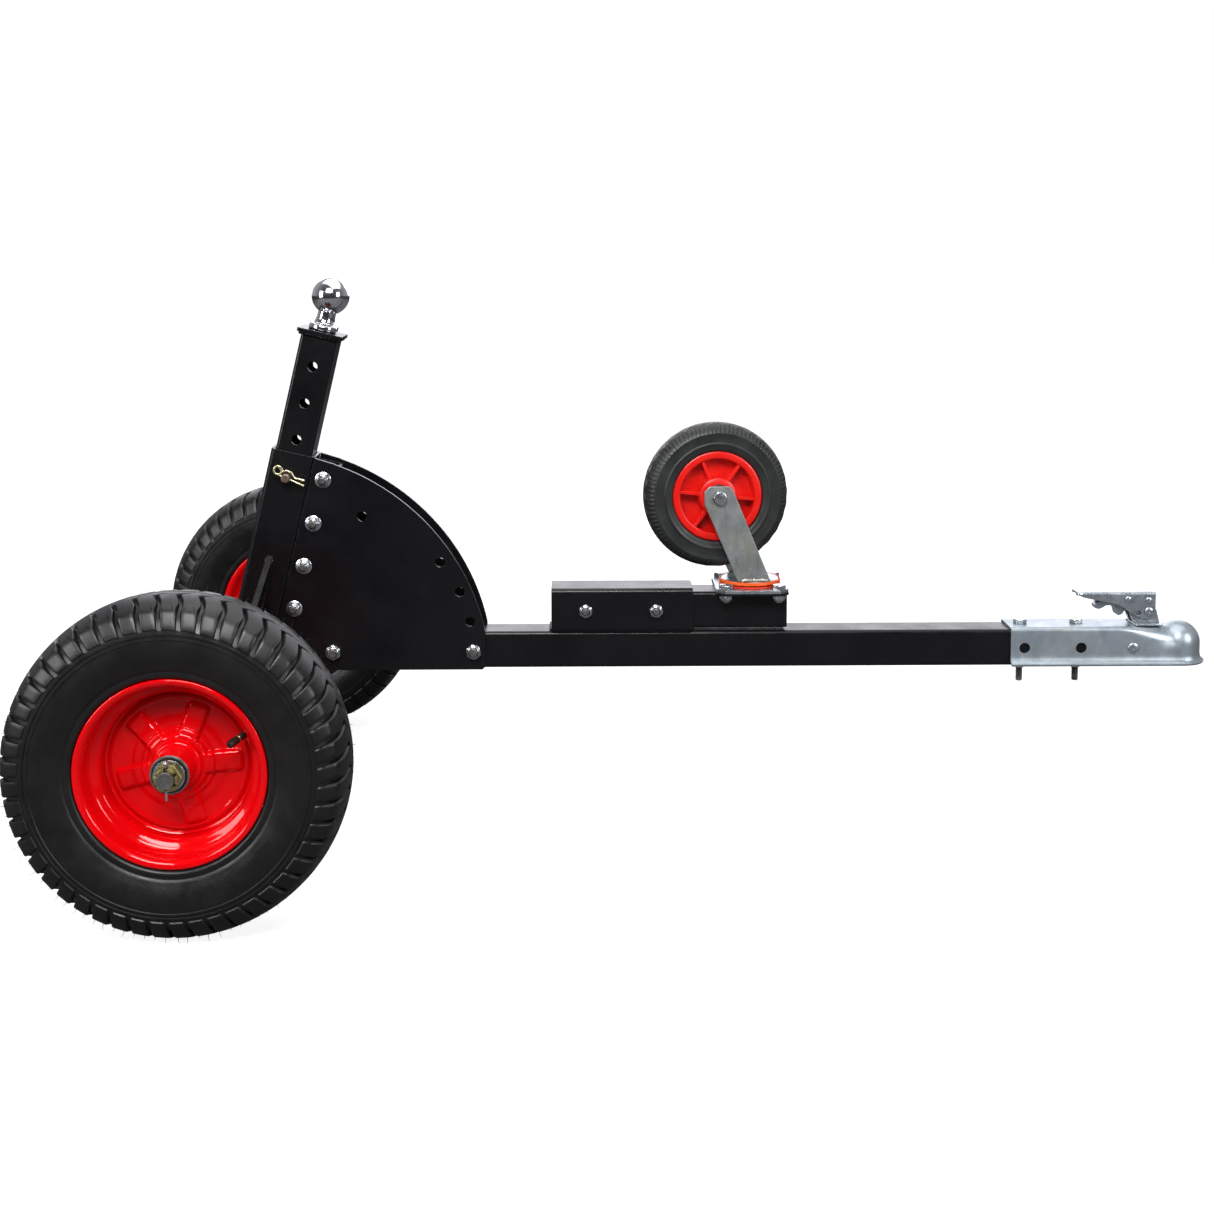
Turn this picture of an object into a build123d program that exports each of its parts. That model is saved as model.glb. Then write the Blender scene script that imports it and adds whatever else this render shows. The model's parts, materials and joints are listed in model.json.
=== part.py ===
from build123d import *
from math import cos, radians, sin
import os

# A trailer dolly: a leaning mast with a hitch ball on two pneumatic wheels, a tow bar pinned between
# two quadrant plates, a swivel caster carried upside down on the bar, and a ball coupler at the front.
# Units are millimetres. +X runs forward along the tow bar, +Y to the left, +Z up.
# Every piece is modelled about the axle's centre; save() then sets the part down on the floor.

# Main wheels
TYRE_R = 198.0
TYRE_HALF_WIDTH = 56.0
TRACK_HALF = 398.0
RIM_FLANGE_R = 109.0
RIM_FLANGE_Y = 46.0
RIM_SEAT_R = 101.6
RIM_WELL_R = 88.0
RIM_SHEET = 3.0
HUB_R = 22.3
HUB_HALF = 45.0
BEARING_R = 17.5
BEARING_WIDTH = 11.0
VALVE_ANGLE = 25.0

# Axle
STUB_R = 9.525
STUB_TIP_Y = 464.0
AXLE_TUBE = 50.0
AXLE_TUBE_END_Y = 340.0
WASHER_R = 18.0
CASTLE_NUT_AF = 28.6
COTTER_R = 1.6

# Mast, measured along its own axis from the axle's centre
LEAN = 13.2
MAST_OUTER = 60.0
MAST_WALL = 4.0
MAST_BOTTOM = -60.0
MAST_TOP = 313.5
INNER = 50.0
INNER_WALL = 3.0
INNER_BOTTOM = 112.0
CAP_TOP = 481.0
CAP_THICK = 5.0
CAP_SIZE = 61.0
PIN_AT = 280.2
HOLE_PITCH = 50.8
PIN_R = 6.35
PIN_HOLE_R = 6.75
BALL_R = 25.4
BALL_AT = 529.4

# Quadrant plates and their bolts
PLATE_IN = 26.0
PLATE_THICK = 5.0
PLATE_ARC_CENTRE = (23.0, -6.0)
PLATE_ARC_R = 313.0
PLATE_NOSE_X = 329.0
PLATE_BOTTOM_Z = 7.0
PLATE_BOLT_AT = (106.0, 166.0, 226.0, 287.0)
PLATE_BOLT_FORWARD = 47.4
SPINE_DEPTH = 34.0

# Tow bar
BAR = 50.0
BAR_WALL = 3.0
BAR_Z = 32.5
BAR_REAR_X = 92.0
BAR_FRONT_X = 1196.0
PIVOT_X = 122.6
LOCK_R = 190.5
LOCK_ANGLES = (0.0, 12.3, 25.4, 40.1, 77.6)
BOLT_R = 6.35
BOLT_AF = 19.0

# Receiver tube and the caster's mount
RECEIVER = 60.0
RECEIVER_X = (419.0, 612.0)
RECEIVER_BOLT_X = (466.0, 562.0)
MOUNT_X = (430.0, 741.0)
SMALL_BOLT_R = 5.0
SMALL_BOLT_AF = 17.0

# Caster
SWIVEL_X = 692.0
SWIVEL_REST = 6.0
CASTER_PLATE = (98.0, 104.0, 4.2)
CASTER_BOLT = (36.0, 41.0)
CASTER_OFFSET = 49.0
CASTER_AXLE_UP = 125.0
CASTER_R = 99.5
CASTER_HALF = 25.0
CASTER_RIM_R = 62.0
CROWN_R = 40.3
RING_R = 42.2
LEG_IN = 31.0
LEG_THICK = 4.5
KINGPIN_R = 6.0
SPOKES = 6

# Coupler
COUPLER_REAR_X = 1049.0
COUPLER_HALF = 28.5
COUPLER_SHEET = 3.0
COUPLER_TOP_Z = 61.0
COUPLER_BOLT_X = (1068.0, 1146.0)
SOCKET_X = 1289.0
SOCKET_Z = 35.0
SOCKET_R = 26.2
NOSE_X = 1324.0
LEVER_PIVOT = (1242.7, 79.8)
LEVER_RIVET = (1242.0, 95.6)
TRIGGER_PIVOT = (1213.7, 97.2)
LOCK_HOLE = (1228.5, 78.0)
CLAMP_PIVOT = (1218.0, 32.0)
LEVER_WALL_IN = 13.1
LEVER_SHEET = 2.5

# Clearances
HINGE_GAP = 0.1
LOOSE_GAP = 0.4

AXLE_X = (TYRE_R - NOSE_X) / 2
SIDES = (("left", 1), ("right", -1))
made = {}


def save(name, *shapes):
    """Move the shapes from the axle's frame to the floor frame and write them as one STEP."""
    placed = [Pos(AXLE_X, 0, TYRE_R) * shape for shape in shapes]
    whole = placed[0] if len(placed) == 1 else Compound(children=placed)
    whole.label = name
    made[name] = whole
    export_step(whole, f"parts/{name}.step")


def to_y(shape):
    """Turn a shape built up +Z so that it points along +Y."""
    return Rot(-90, 0, 0) * shape


def in_mast(shape):
    """Lean a shape built on an upright mast (X forward, Z along the mast) with the mast."""
    return Rot(0, LEAN, 0) * shape


def rod(radius, low, high):
    return Pos(0, 0, low) * Cylinder(radius, high - low, align=(Align.CENTER, Align.CENTER, Align.MIN))


def rod_y(radius, low, high, x=0.0, z=0.0):
    return Pos(x, 0, z) * to_y(rod(radius, low, high))


def hexagon(across_flats, low, high):
    outline = RegularPolygon(across_flats / 2, 6, major_radius=False)
    return Pos(0, 0, low) * extrude(outline, high - low)


def hex_nut(across_flats, hole_r, low, high, flange_r=0.0, flange=0.0):
    """A nut from low to high along Z, with an optional round flange at its high end."""
    body = hexagon(across_flats, low, high - flange)
    if flange:
        body += rod(flange_r, high - flange, high)
    return body - rod(hole_r, low - 1, high + 1)


def hex_bolt(radius, across_flats, head, tip, under_head):
    """A bolt along Z whose head stands above under_head and whose shank ends at tip."""
    return rod(radius, tip, under_head) + hexagon(across_flats, under_head, under_head + head)


def square_tube(size, wall, low, high):
    """A square tube along Z with rolled corners."""
    corner = size * 0.1
    outside = extrude(RectangleRounded(size, size, corner), high - low)
    inside = extrude(RectangleRounded(size - 2 * wall, size - 2 * wall, corner - wall / 2), high - low)
    return Pos(0, 0, low) * (outside - inside)


def square_tube_x(size, wall, low, high, z):
    return Pos(0, 0, z) * Rot(0, 90, 0) * square_tube(size, wall, low, high)


def slab(face, low, high):
    """Stand a face drawn as (x, z) upright between two Y positions."""
    return Pos(0, high, 0) * extrude(Plane.XZ * face, high - low)


def spin(face):
    """Turn a face drawn as (radius, y) about the Y axis."""
    return revolve(face, Axis.Y)


def at_side(sign, shape):
    """Keep a left-hand shape, or mirror it across the middle plane for the right."""
    return shape if sign > 0 else mirror(shape, Plane.XZ)


# ---------------------------------------------------------------- main wheels

def tyre():
    bead = make_face(
        Polyline((107.5, 26), (107.5, 42), (112, 43.5))
        + ThreePointArc((112, 43.5), (148, TYRE_HALF_WIDTH), (180, 50.5))
        + ThreePointArc((180, 50.5), (TYRE_R, 0), (180, -50.5))
        + ThreePointArc((180, -50.5), (148, -TYRE_HALF_WIDTH), (112, -43.5))
        + Polyline((112, -43.5), (107.5, -42), (107.5, -26), (107.5, 26))
    )
    cavity = Pos(145, 0) * Ellipse(38, 46)
    mouth = Pos(115, 0) * Rectangle(30, 52)
    return spin(bead - cavity - mouth)


def inner_tube():
    return spin(Pos(145.5, 0) * (Ellipse(36.8, 45.4) - Ellipse(33.8, 42.4)))


def rim_barrel():
    """Rolled rim: two flanges, bead seats and a dropped well."""
    t = RIM_SHEET
    barrel = [
        (RIM_FLANGE_R, 42.5), (RIM_FLANGE_R, RIM_FLANGE_Y), (RIM_FLANGE_R - t, RIM_FLANGE_Y),
        (RIM_SEAT_R - t, 42.5), (RIM_SEAT_R - t, 22), (RIM_WELL_R - t, 14),
    ]
    outer = [(RIM_FLANGE_R, 42.5), (RIM_SEAT_R, 42.5), (RIM_SEAT_R, 21), (RIM_WELL_R, 12)]
    mirrored_in = [(r, -y) for r, y in reversed(barrel[1:])]
    mirrored_out = [(r, -y) for r, y in reversed(outer)]
    loop = barrel[1:] + mirrored_in + [mirrored_out[-1]] + mirrored_out[-2::-1] + outer[::-1]
    ring = spin(make_face(Polyline(*loop, close=True)))
    return ring - valve_axis() * rod(5.0, -30, 30)


def rim_disc():
    """Dished disc welded inside the rim's well and round the hub."""
    edge = RIM_WELL_R - RIM_SHEET
    return spin(make_face(Polyline(
        (edge, -9), (62, -6), (50, 2), (36, 4), (30, 14), (HUB_R, 14),
        (HUB_R, 11), (28, 11), (34, 1), (49, -1), (60, -9), (edge, -12), close=True,
    )))


def valve_axis():
    """Local frame of the valve: its Z runs from the rim's well towards the hub and outwards."""
    return Rot(0, -VALVE_ANGLE, 0) * Pos(RIM_WELL_R, 8, 0) * Rot(0, 0, -55) * Rot(0, -90, 0)


def valve():
    stem = rod(4.2, -10, 24) + rod(4.8, 12, 30)
    return valve_axis() * stem


def hub():
    tube = rod_y(HUB_R, -HUB_HALF, HUB_HALF) - rod_y(14.5, -HUB_HALF, HUB_HALF)
    for sign in (-1, 1):
        seat = sorted((sign * (HUB_HALF - BEARING_WIDTH), sign * (HUB_HALF + 1)))
        tube -= rod_y(BEARING_R, *seat)
    return tube


def bearing(outer_r, bore_r, low, high):
    return rod_y(outer_r, low, high) - rod_y(bore_r, low - 1, high + 1)


def wheel_pieces(sign):
    shift = Pos(0, sign * TRACK_HALF, 0)
    bearings = [
        bearing(BEARING_R, STUB_R + HINGE_GAP, HUB_HALF - BEARING_WIDTH, HUB_HALF),
        bearing(BEARING_R, STUB_R + HINGE_GAP, -HUB_HALF, -HUB_HALF + BEARING_WIDTH),
    ]
    return {
        "tyre": [shift * tyre()],
        "inner_tube": [shift * inner_tube()],
        "rim_barrel": [shift * at_side(sign, rim_barrel())],
        "rim_disc": [shift * at_side(sign, rim_disc())],
        "hub": [shift * hub()],
        "bearings": [shift * piece for piece in bearings],
        "valve": [shift * at_side(sign, valve())],
    }


# ---------------------------------------------------------------- axle and mast

def axle_tube():
    tube = to_y(square_tube(AXLE_TUBE, 4, MAST_OUTER / 2, AXLE_TUBE_END_Y))
    return in_mast(tube)


def axle_stub():
    plug = in_mast(to_y(extrude(RectangleRounded(41.6, 41.6, 2.5), 25)))
    stub = Pos(0, AXLE_TUBE_END_Y - 25, 0) * plug + rod_y(STUB_R, AXLE_TUBE_END_Y - 1, STUB_TIP_Y)
    shoulder = rod_y(14, AXLE_TUBE_END_Y - 1, TRACK_HALF - HUB_HALF - 0.4)
    cotter_hole = Pos(0, STUB_TIP_Y - 6.5, 0) * rod(COTTER_R + 0.3, -12, 12)
    return stub + shoulder - cotter_hole


def axle_washer():
    start = TRACK_HALF + HUB_HALF + 0.3
    return rod_y(WASHER_R, start, start + 2.7) - rod_y(STUB_R + 0.3, start - 1, start + 4)


def castle_nut():
    start, height, crown = TRACK_HALF + HUB_HALF + 3.0, 15.0, 7.0
    nut = hexagon(CASTLE_NUT_AF, 0, height - crown) + rod(CASTLE_NUT_AF * 0.45, height - crown, height)
    for turn in range(3):
        slot = Box(40, 4.4, crown, align=(Align.CENTER, Align.CENTER, Align.MAX))
        nut -= Rot(0, 0, 90 + 60 * turn) * Pos(0, 0, height) * slot
    nut -= rod(STUB_R, -1, height + 1)
    return Pos(0, start, 0) * to_y(nut)


def cotter_pin():
    eye = Pos(0, 0, 17.5) * Rot(0, 90, 0) * Torus(3.2, COTTER_R)
    return Pos(0, STUB_TIP_Y - 6.5, 0) * (rod(COTTER_R, -24, 14.5) + eye)


def gusset():
    """Triangular web from the mast's side down to the top of the axle tube."""
    side, top = MAST_OUTER / 2, AXLE_TUBE / 2
    face = make_face(Polyline((side, top), (side + 115, top), (side, 170), close=True))
    return in_mast(extrude(Plane.YZ * face, 4, both=True))


def mast_outer():
    tube = square_tube(MAST_OUTER, MAST_WALL, MAST_BOTTOM, MAST_TOP)
    return in_mast(tube - rod_y(PIN_HOLE_R, -40, 40, z=PIN_AT))


def mast_inner():
    tube = square_tube(INNER, INNER_WALL, INNER_BOTTOM, CAP_TOP - CAP_THICK)
    for step in range(-3, 4):
        tube -= rod_y(PIN_HOLE_R, -40, 40, z=PIN_AT + step * HOLE_PITCH)
    return in_mast(tube)


def mast_cap():
    plate = extrude(RectangleRounded(CAP_SIZE, CAP_SIZE, 2), CAP_THICK)
    return in_mast(Pos(0, 0, CAP_TOP - CAP_THICK) * (plate - rod(9.8, -1, CAP_THICK + 1)))


def hitch_ball():
    flange = rod(22, 0, 9) & Box(38, 60, 30)
    neck = Pos(0, 0, 9) * Cone(15, 12.5, 22, align=(Align.CENTER, Align.CENTER, Align.MIN))
    ball = Pos(0, 0, BALL_AT - CAP_TOP) * Sphere(BALL_R)
    flat = Pos(0, 0, BALL_AT - CAP_TOP + BALL_R - 0.9) * Box(40, 40, 4, align=(Align.CENTER, Align.CENTER, Align.MIN))
    shank = rod(9.525, -34, 0)
    return in_mast(Pos(0, 0, CAP_TOP) * (flange + neck + ball - flat + shank))


def ball_nut():
    top = CAP_TOP - CAP_THICK
    return in_mast(hex_nut(CASTLE_NUT_AF, 9.525, top - 18, top, 19, 3))


# ---------------------------------------------------------------- hitch pin and its clip

PIN_TIP_Y = -49.0
CLIP_Y = -42.0
CLIP_WIRE_R = 1.5
CLIP_TILT = 24.0


def hitch_pin():
    """A bent pin pushed in from the left: its handle turns down the mast."""
    bend, handle, elbow_y = 14.0, 46.0, 38.0
    shank = rod_y(PIN_R, PIN_TIP_Y + 2, elbow_y + 6)
    tip = Pos(0, PIN_TIP_Y, 0) * to_y(Cone(4.8, PIN_R, 2, align=(Align.CENTER, Align.CENTER, Align.MIN)))
    elbow = Pos(0, elbow_y + 6, -bend) * Rot(0, 90, 0) * Torus(bend, PIN_R)
    elbow &= Pos(0, elbow_y + 6, -bend) * Box(60, 60, 60, align=(Align.CENTER, Align.MIN, Align.MIN))
    arm = Pos(0, elbow_y + 6 + bend, -bend) * rod(PIN_R, -handle, 0)
    cross_hole = Pos(0, CLIP_Y, 0) * Rot(0, CLIP_TILT + 90 - LEAN, 0) * rod(CLIP_WIRE_R + 0.4, -12, 12)
    return in_mast(Pos(0, 0, PIN_AT) * (shank + tip + elbow + arm - cross_hole))


def clip_axis():
    """Local frame of the clip in the mast's frame: X runs along its straight leg, from the eye out."""
    return Pos(0, CLIP_Y, PIN_AT) * Rot(0, CLIP_TILT - LEAN, 0)


def r_clip():
    """Spring wire clip: a straight leg through the pin, an eye, and a humped leg round the pin."""
    wire, reach, eye = CLIP_WIRE_R, 26.0, 5.5
    straight = Rot(0, 90, 0) * rod(wire, -14, reach)
    eye_ring = Pos(-14, 0, eye) * Rot(90, 0, 0) * Torus(eye, wire)
    hump_line = FilletPolyline(
        (-14, 0, 2 * eye), (-8.5, 0, 5.5), (-3.5, 0, 9.6), (4, 0, 9.6), (10.5, 0, 4.6), (24, 0, 7), radius=2.2)
    start = Plane(origin=hump_line @ 0, z_dir=hump_line % 0)
    hump = sweep(start * Circle(wire), path=hump_line)
    return in_mast(clip_axis() * (straight + eye_ring + hump))


# ---------------------------------------------------------------- quadrant plates

def lock_holes():
    """Centres of the bar's lock holes, on one circle about the pivot."""
    return [
        (PIVOT_X + LOCK_R * cos(radians(angle)), BAR_Z + LOCK_R * sin(radians(angle)))
        for angle in LOCK_ANGLES
    ]


def mast_point(forward, along):
    lean = radians(LEAN)
    return (along * sin(lean) + forward * cos(lean), along * cos(lean) - forward * sin(lean))


def quadrant_outline():
    cx, cz = PLATE_ARC_CENTRE
    top_back = mast_point(MAST_OUTER / 2, MAST_TOP - 0.5)
    notch = mast_point(MAST_OUTER / 2 + 28, MAST_TOP - 2.5)
    start_angle, mid_angle = 70.3, 41.0
    arc_start, arc_mid = (
        (cx + PLATE_ARC_R * cos(radians(a)), cz + PLATE_ARC_R * sin(radians(a)))
        for a in (start_angle, mid_angle)
    )
    nose_z = cz + (PLATE_ARC_R ** 2 - (PLATE_NOSE_X - cx) ** 2) ** 0.5
    nose = (PLATE_NOSE_X, nose_z)
    bottom_back = mast_point(MAST_OUTER / 2, 0)
    rise = (PLATE_BOTTOM_Z - bottom_back[1]) / cos(radians(LEAN))
    bottom_back = mast_point(MAST_OUTER / 2, rise)
    return make_face(
        Polyline(bottom_back, top_back, notch, arc_start)
        + ThreePointArc(arc_start, arc_mid, nose)
        + Polyline(nose, (PLATE_NOSE_X, PLATE_BOTTOM_Z + 4), (PLATE_NOSE_X - 4, PLATE_BOTTOM_Z), bottom_back)
    )


def quadrant_plate(sign):
    low, high = sorted((sign * PLATE_IN, sign * (PLATE_IN + PLATE_THICK)))
    plate = slab(quadrant_outline(), low, high)
    for x, z in lock_holes():
        plate -= rod_y(BOLT_R + LOOSE_GAP, -50, 50, x, z)
    plate -= rod_y(BOLT_R, -50, 50, PIVOT_X, BAR_Z)
    for along in PLATE_BOLT_AT:
        x, z = mast_point(PLATE_BOLT_FORWARD, along)
        plate -= rod_y(SMALL_BOLT_R, -50, 50, x, z)
    return plate


def quadrant_spine():
    """Rectangular tube welded up the mast's front face, with the plates bolted to its sides."""
    low, high, width = 78.0, 306.0, 2 * PLATE_IN
    outside = Box(SPINE_DEPTH, width, high - low, align=(Align.MIN, Align.CENTER, Align.MIN))
    inside = Pos(4, 0, 0) * Box(SPINE_DEPTH - 8, width - 8, high - low, align=(Align.MIN, Align.CENTER, Align.MIN))
    tube = Pos(MAST_OUTER / 2, 0, low) * (outside - inside)
    for along in PLATE_BOLT_AT:
        tube -= rod_y(SMALL_BOLT_R, -50, 50, PLATE_BOLT_FORWARD, along)
    return in_mast(tube)


def cross_bolt(x, z, radius, across_flats, outer_face, tail):
    """A bolt across the part: its head on the left face and its tail past the right one."""
    bolt = hex_bolt(radius, across_flats, radius * 1.3, -outer_face - tail, outer_face)
    return Pos(x, 0, z) * to_y(bolt)


def cross_nut(x, z, radius, across_flats, outer_face, flange_r=0.0, flange=0.0):
    height = radius * 1.5 + flange
    nut = hex_nut(across_flats, radius, -outer_face - height, -outer_face, flange_r, flange)
    return Pos(x, 0, z) * to_y(nut)


# ---------------------------------------------------------------- tow bar and receiver

def tow_bar():
    bar = square_tube_x(BAR, BAR_WALL, BAR_REAR_X, BAR_FRONT_X, BAR_Z)
    bar -= rod_y(BOLT_R + HINGE_GAP, -40, 40, PIVOT_X, BAR_Z)
    bar -= rod_y(BOLT_R, -40, 40, PIVOT_X + LOCK_R, BAR_Z)
    for x in COUPLER_BOLT_X:
        bar -= Pos(x, 0, BAR_Z) * rod(SMALL_BOLT_R, -40, 40)
    return bar


RECEIVER_Z = BAR_Z + BAR / 2 + RECEIVER / 2
MOUNT_Z = RECEIVER_Z - RECEIVER / 2 + 4 + 0.3 + BAR / 2
MOUNT_TOP = MOUNT_Z + BAR / 2
WELD_PLATE = 3.0
PLATE_TOP = MOUNT_TOP + WELD_PLATE + CASTER_PLATE[2]


def receiver():
    tube = square_tube_x(RECEIVER, 4, *RECEIVER_X, RECEIVER_Z)
    for x in RECEIVER_BOLT_X:
        tube -= rod_y(SMALL_BOLT_R, -40, 40, x, RECEIVER_Z)
    return tube


def corner_spots():
    return [(sx * CASTER_BOLT[0], sy * CASTER_BOLT[1]) for sx in (-1, 1) for sy in (-1, 1)]


def caster_plate(low, high, chamfer_by):
    outline = Rectangle(CASTER_PLATE[0], CASTER_PLATE[1])
    outline = chamfer(outline.vertices(), chamfer_by)
    plate = Pos(SWIVEL_X, 0, low) * extrude(outline, high - low)
    for x, y in corner_spots():
        plate -= Pos(SWIVEL_X + x, y, 0) * rod(SMALL_BOLT_R, low - 1, high + 1)
    return plate - Pos(SWIVEL_X, 0, 0) * rod(KINGPIN_R, low - 1, high + 1)


def caster_mount():
    """Square tube that slides into the receiver, with the caster's seat plate welded on its top."""
    tube = square_tube_x(BAR, BAR_WALL, *MOUNT_X, MOUNT_Z)
    for x in RECEIVER_BOLT_X:
        tube -= rod_y(SMALL_BOLT_R, -40, 40, x, RECEIVER_Z)
    tube -= Pos(SWIVEL_X, 0, 0) * rod(KINGPIN_R, MOUNT_Z, MOUNT_TOP + 1)
    return tube + caster_plate(MOUNT_TOP, MOUNT_TOP + WELD_PLATE, 8)


# ---------------------------------------------------------------- swivel caster

def in_caster(shape):
    """Place a shape built about the swivel axis, with the plate's top at zero, at its rest turn."""
    return Pos(SWIVEL_X, 0, PLATE_TOP) * Rot(0, 0, SWIVEL_REST) * shape


def kingpin():
    """Headed pin through the plate and the crown, riveted over at the top."""
    head = Pos(0, 0, 11.4) * Cone(10, 7.5, 4, align=(Align.CENTER, Align.CENTER, Align.MIN))
    pin = rod(KINGPIN_R, -CASTER_PLATE[2] - WELD_PLATE, 13)
    return Pos(SWIVEL_X, 0, PLATE_TOP) * (pin + head)


def swivel_balls():
    spots = [(28 * cos(radians(30 * k)), 28 * sin(radians(30 * k))) for k in range(12)]
    return [Pos(SWIVEL_X + x, y, PLATE_TOP + 2.4) * Sphere(2.1) for x, y in spots]


def ring(radius, inside, low, high):
    return rod(radius, low, high) - rod(inside, low - 1, high + 1)


def caster_fork():
    crown = rod(CROWN_R, 5.0, 8.4) + Pos(0, 0, 8.4) * Cone(
        CROWN_R, CROWN_R - 6, 2.6, align=(Align.CENTER, Align.CENTER, Align.MIN))
    crown -= rod(KINGPIN_R + HINGE_GAP, 0, 20)
    foot, x, z = 9.0, -CASTER_OFFSET, CASTER_AXLE_UP
    outline = make_face(Polyline(
        (x + 27, foot), (x - 20.7, z - 8.5), (x - 20.7, z + 8), (x - 13, z + 15.4), (x + 13.5, z + 15.4),
        (x + 18, z + 11), (x + 71, foot), close=True,
    ))
    fork = crown
    for sign in (-1, 1):
        low, high = sorted((sign * LEG_IN, sign * (LEG_IN + LEG_THICK)))
        fork += slab(outline, low, high)
    fork -= rod_y(SMALL_BOLT_R, -60, 60, x, z)
    return in_caster(fork)


def caster_tyre():
    outline = make_face(
        Polyline((CASTER_RIM_R, -20), (66, -24), (74, -CASTER_HALF))
        + ThreePointArc((74, -CASTER_HALF), (88, -CASTER_HALF + 1), (94, -19))
        + ThreePointArc((94, -19), (CASTER_R, 0), (94, 19))
        + ThreePointArc((94, 19), (88, CASTER_HALF - 1), (74, CASTER_HALF))
        + Polyline((74, CASTER_HALF), (66, 24), (CASTER_RIM_R, 20), (CASTER_RIM_R, -20))
    )
    return spin(outline)


def caster_rim():
    rim_ring = rod_y(CASTER_RIM_R, -19.5, 19.5) - rod_y(51, -30, 30)
    boss = rod_y(25.5, -26, 26)
    web = rod_y(52, -2, 2)
    body = rim_ring + boss + web
    for k in range(SPOKES):
        spoke = Pos(38, 0, 0) * Box(30, 34, 4.5)
        body += Rot(0, 6.5 - 360 / SPOKES * k, 0) * spoke
    for sign in (-1, 1):
        seat = sorted((sign * 16, sign * 27))
        body -= rod_y(16, *seat)
    return body - rod_y(8, -30, 30)


def in_caster_wheel(shape):
    return in_caster(Pos(-CASTER_OFFSET, 0, CASTER_AXLE_UP) * shape)


def caster_axle():
    """Axle bolt through both legs, with its head on the right."""
    reach = LEG_IN + LEG_THICK
    bolt = rod_y(SMALL_BOLT_R, -reach, reach + 10) + to_y(hexagon(SMALL_BOLT_AF, -reach - 6.5, -reach))
    return in_caster_wheel(bolt)


def caster_axle_nut():
    reach = LEG_IN + LEG_THICK
    return in_caster_wheel(to_y(hex_nut(SMALL_BOLT_AF, SMALL_BOLT_R, reach, reach + 8)))


# ---------------------------------------------------------------- coupler

def coupler_section():
    """Half-closed channel with its lower edges rolled outwards, drawn as (y, z)."""
    y, z, t, floor_z = COUPLER_HALF, COUPLER_TOP_Z, COUPLER_SHEET, BAR_Z - BAR / 2
    right = [(y - 5, z), (y, z - 5), (y, 16.5), (y + 3, 12.5), (y + 7, 11), (y + 7, floor_z),
             (y + 1.5, floor_z), (y - t, 14.5), (y - t, z - t - 2), (y - t - 2, z - t)]
    left = [(-py, pz) for py, pz in reversed(right)]
    return make_face(Polyline(*(right + left), close=True))


def coupler_body():
    length = SOCKET_X - COUPLER_REAR_X
    body = Pos(COUPLER_REAR_X, 0, 0) * extrude(Plane.YZ * coupler_section(), length)
    skirt_low = BAR_Z - BAR / 2
    shell_r = SOCKET_R + COUPLER_SHEET
    dome = Pos(SOCKET_X, 0, SOCKET_Z) * (Sphere(shell_r) & Box(80, 80, 40, align=(Align.CENTER, Align.CENTER, Align.MIN)))
    skirt = Pos(SOCKET_X, 0, 0) * rod(shell_r, skirt_low, SOCKET_Z)
    lip = Pos(SOCKET_X, 0, 0) * rod(NOSE_X - SOCKET_X, skirt_low, skirt_low + COUPLER_SHEET)
    body = body + dome + skirt + lip
    body -= Pos(SOCKET_X, 0, SOCKET_Z) * Sphere(SOCKET_R)
    body -= Pos(SOCKET_X, 0, 0) * rod(SOCKET_R, skirt_low - 1, SOCKET_Z)
    y_in = COUPLER_HALF - COUPLER_SHEET
    tunnel = Box(60, 2 * y_in, SOCKET_Z + 12 - skirt_low + 1, align=(Align.MAX, Align.CENTER, Align.MIN))
    body -= Pos(SOCKET_X - 12, 0, skirt_low - 1) * tunnel
    for x in COUPLER_BOLT_X:
        body -= Pos(x, 0, 0) * rod(SMALL_BOLT_R, 40, 70)
        body -= rod_y(7.5, -50, 50, x, BAR_Z)
    body -= rod_y(4.0, -50, 50, *CLAMP_PIVOT)
    body -= Pos(1243.5, 0, COUPLER_TOP_Z) * Box(23, 13, 12)
    return body


def coupler_bolt(x):
    tail = BAR_Z - BAR / 2 - 27
    return Pos(x, 0, 0) * hex_bolt(4.75, 16, 6, tail, COUPLER_TOP_Z)


def coupler_nut(x):
    top = BAR_Z - BAR / 2
    return Pos(x, 0, 0) * hex_nut(15, 4.75, top - 8.5, top)


def rivet(point, radius, head_r, reach, head=2.5):
    """A rivet across the part with a low domed head outside each wall."""
    body = rod_y(radius, -reach, reach, *point)
    for sign in (-1, 1):
        low, high = sorted((sign * reach, sign * (reach + head)))
        body += rod_y(head_r, low, high, *point)
    return body


def latch_bracket():
    base_z = COUPLER_TOP_Z
    base = Pos(1241, 0, base_z) * Box(38, 44, 2.5, align=(Align.CENTER, Align.CENTER, Align.MIN))
    base -= Pos(1243.5, 0, base_z) * Box(23, 13, 12)
    ear = make_face(Polyline(
        (1223, base_z + 1), (1259, base_z + 1), (1254, 82), (1248, 88), (1237, 89), (1221, 84), (1216, 78),
        close=True,
    ))
    bracket = base
    for sign in (-1, 1):
        low, high = sorted((sign * 9.5, sign * 12.5))
        bracket += slab(ear, low, high)
    bracket -= rod_y(4.0, -30, 30, *LEVER_PIVOT)
    return bracket - rod_y(3.5, -30, 30, *LOCK_HOLE)


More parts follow.
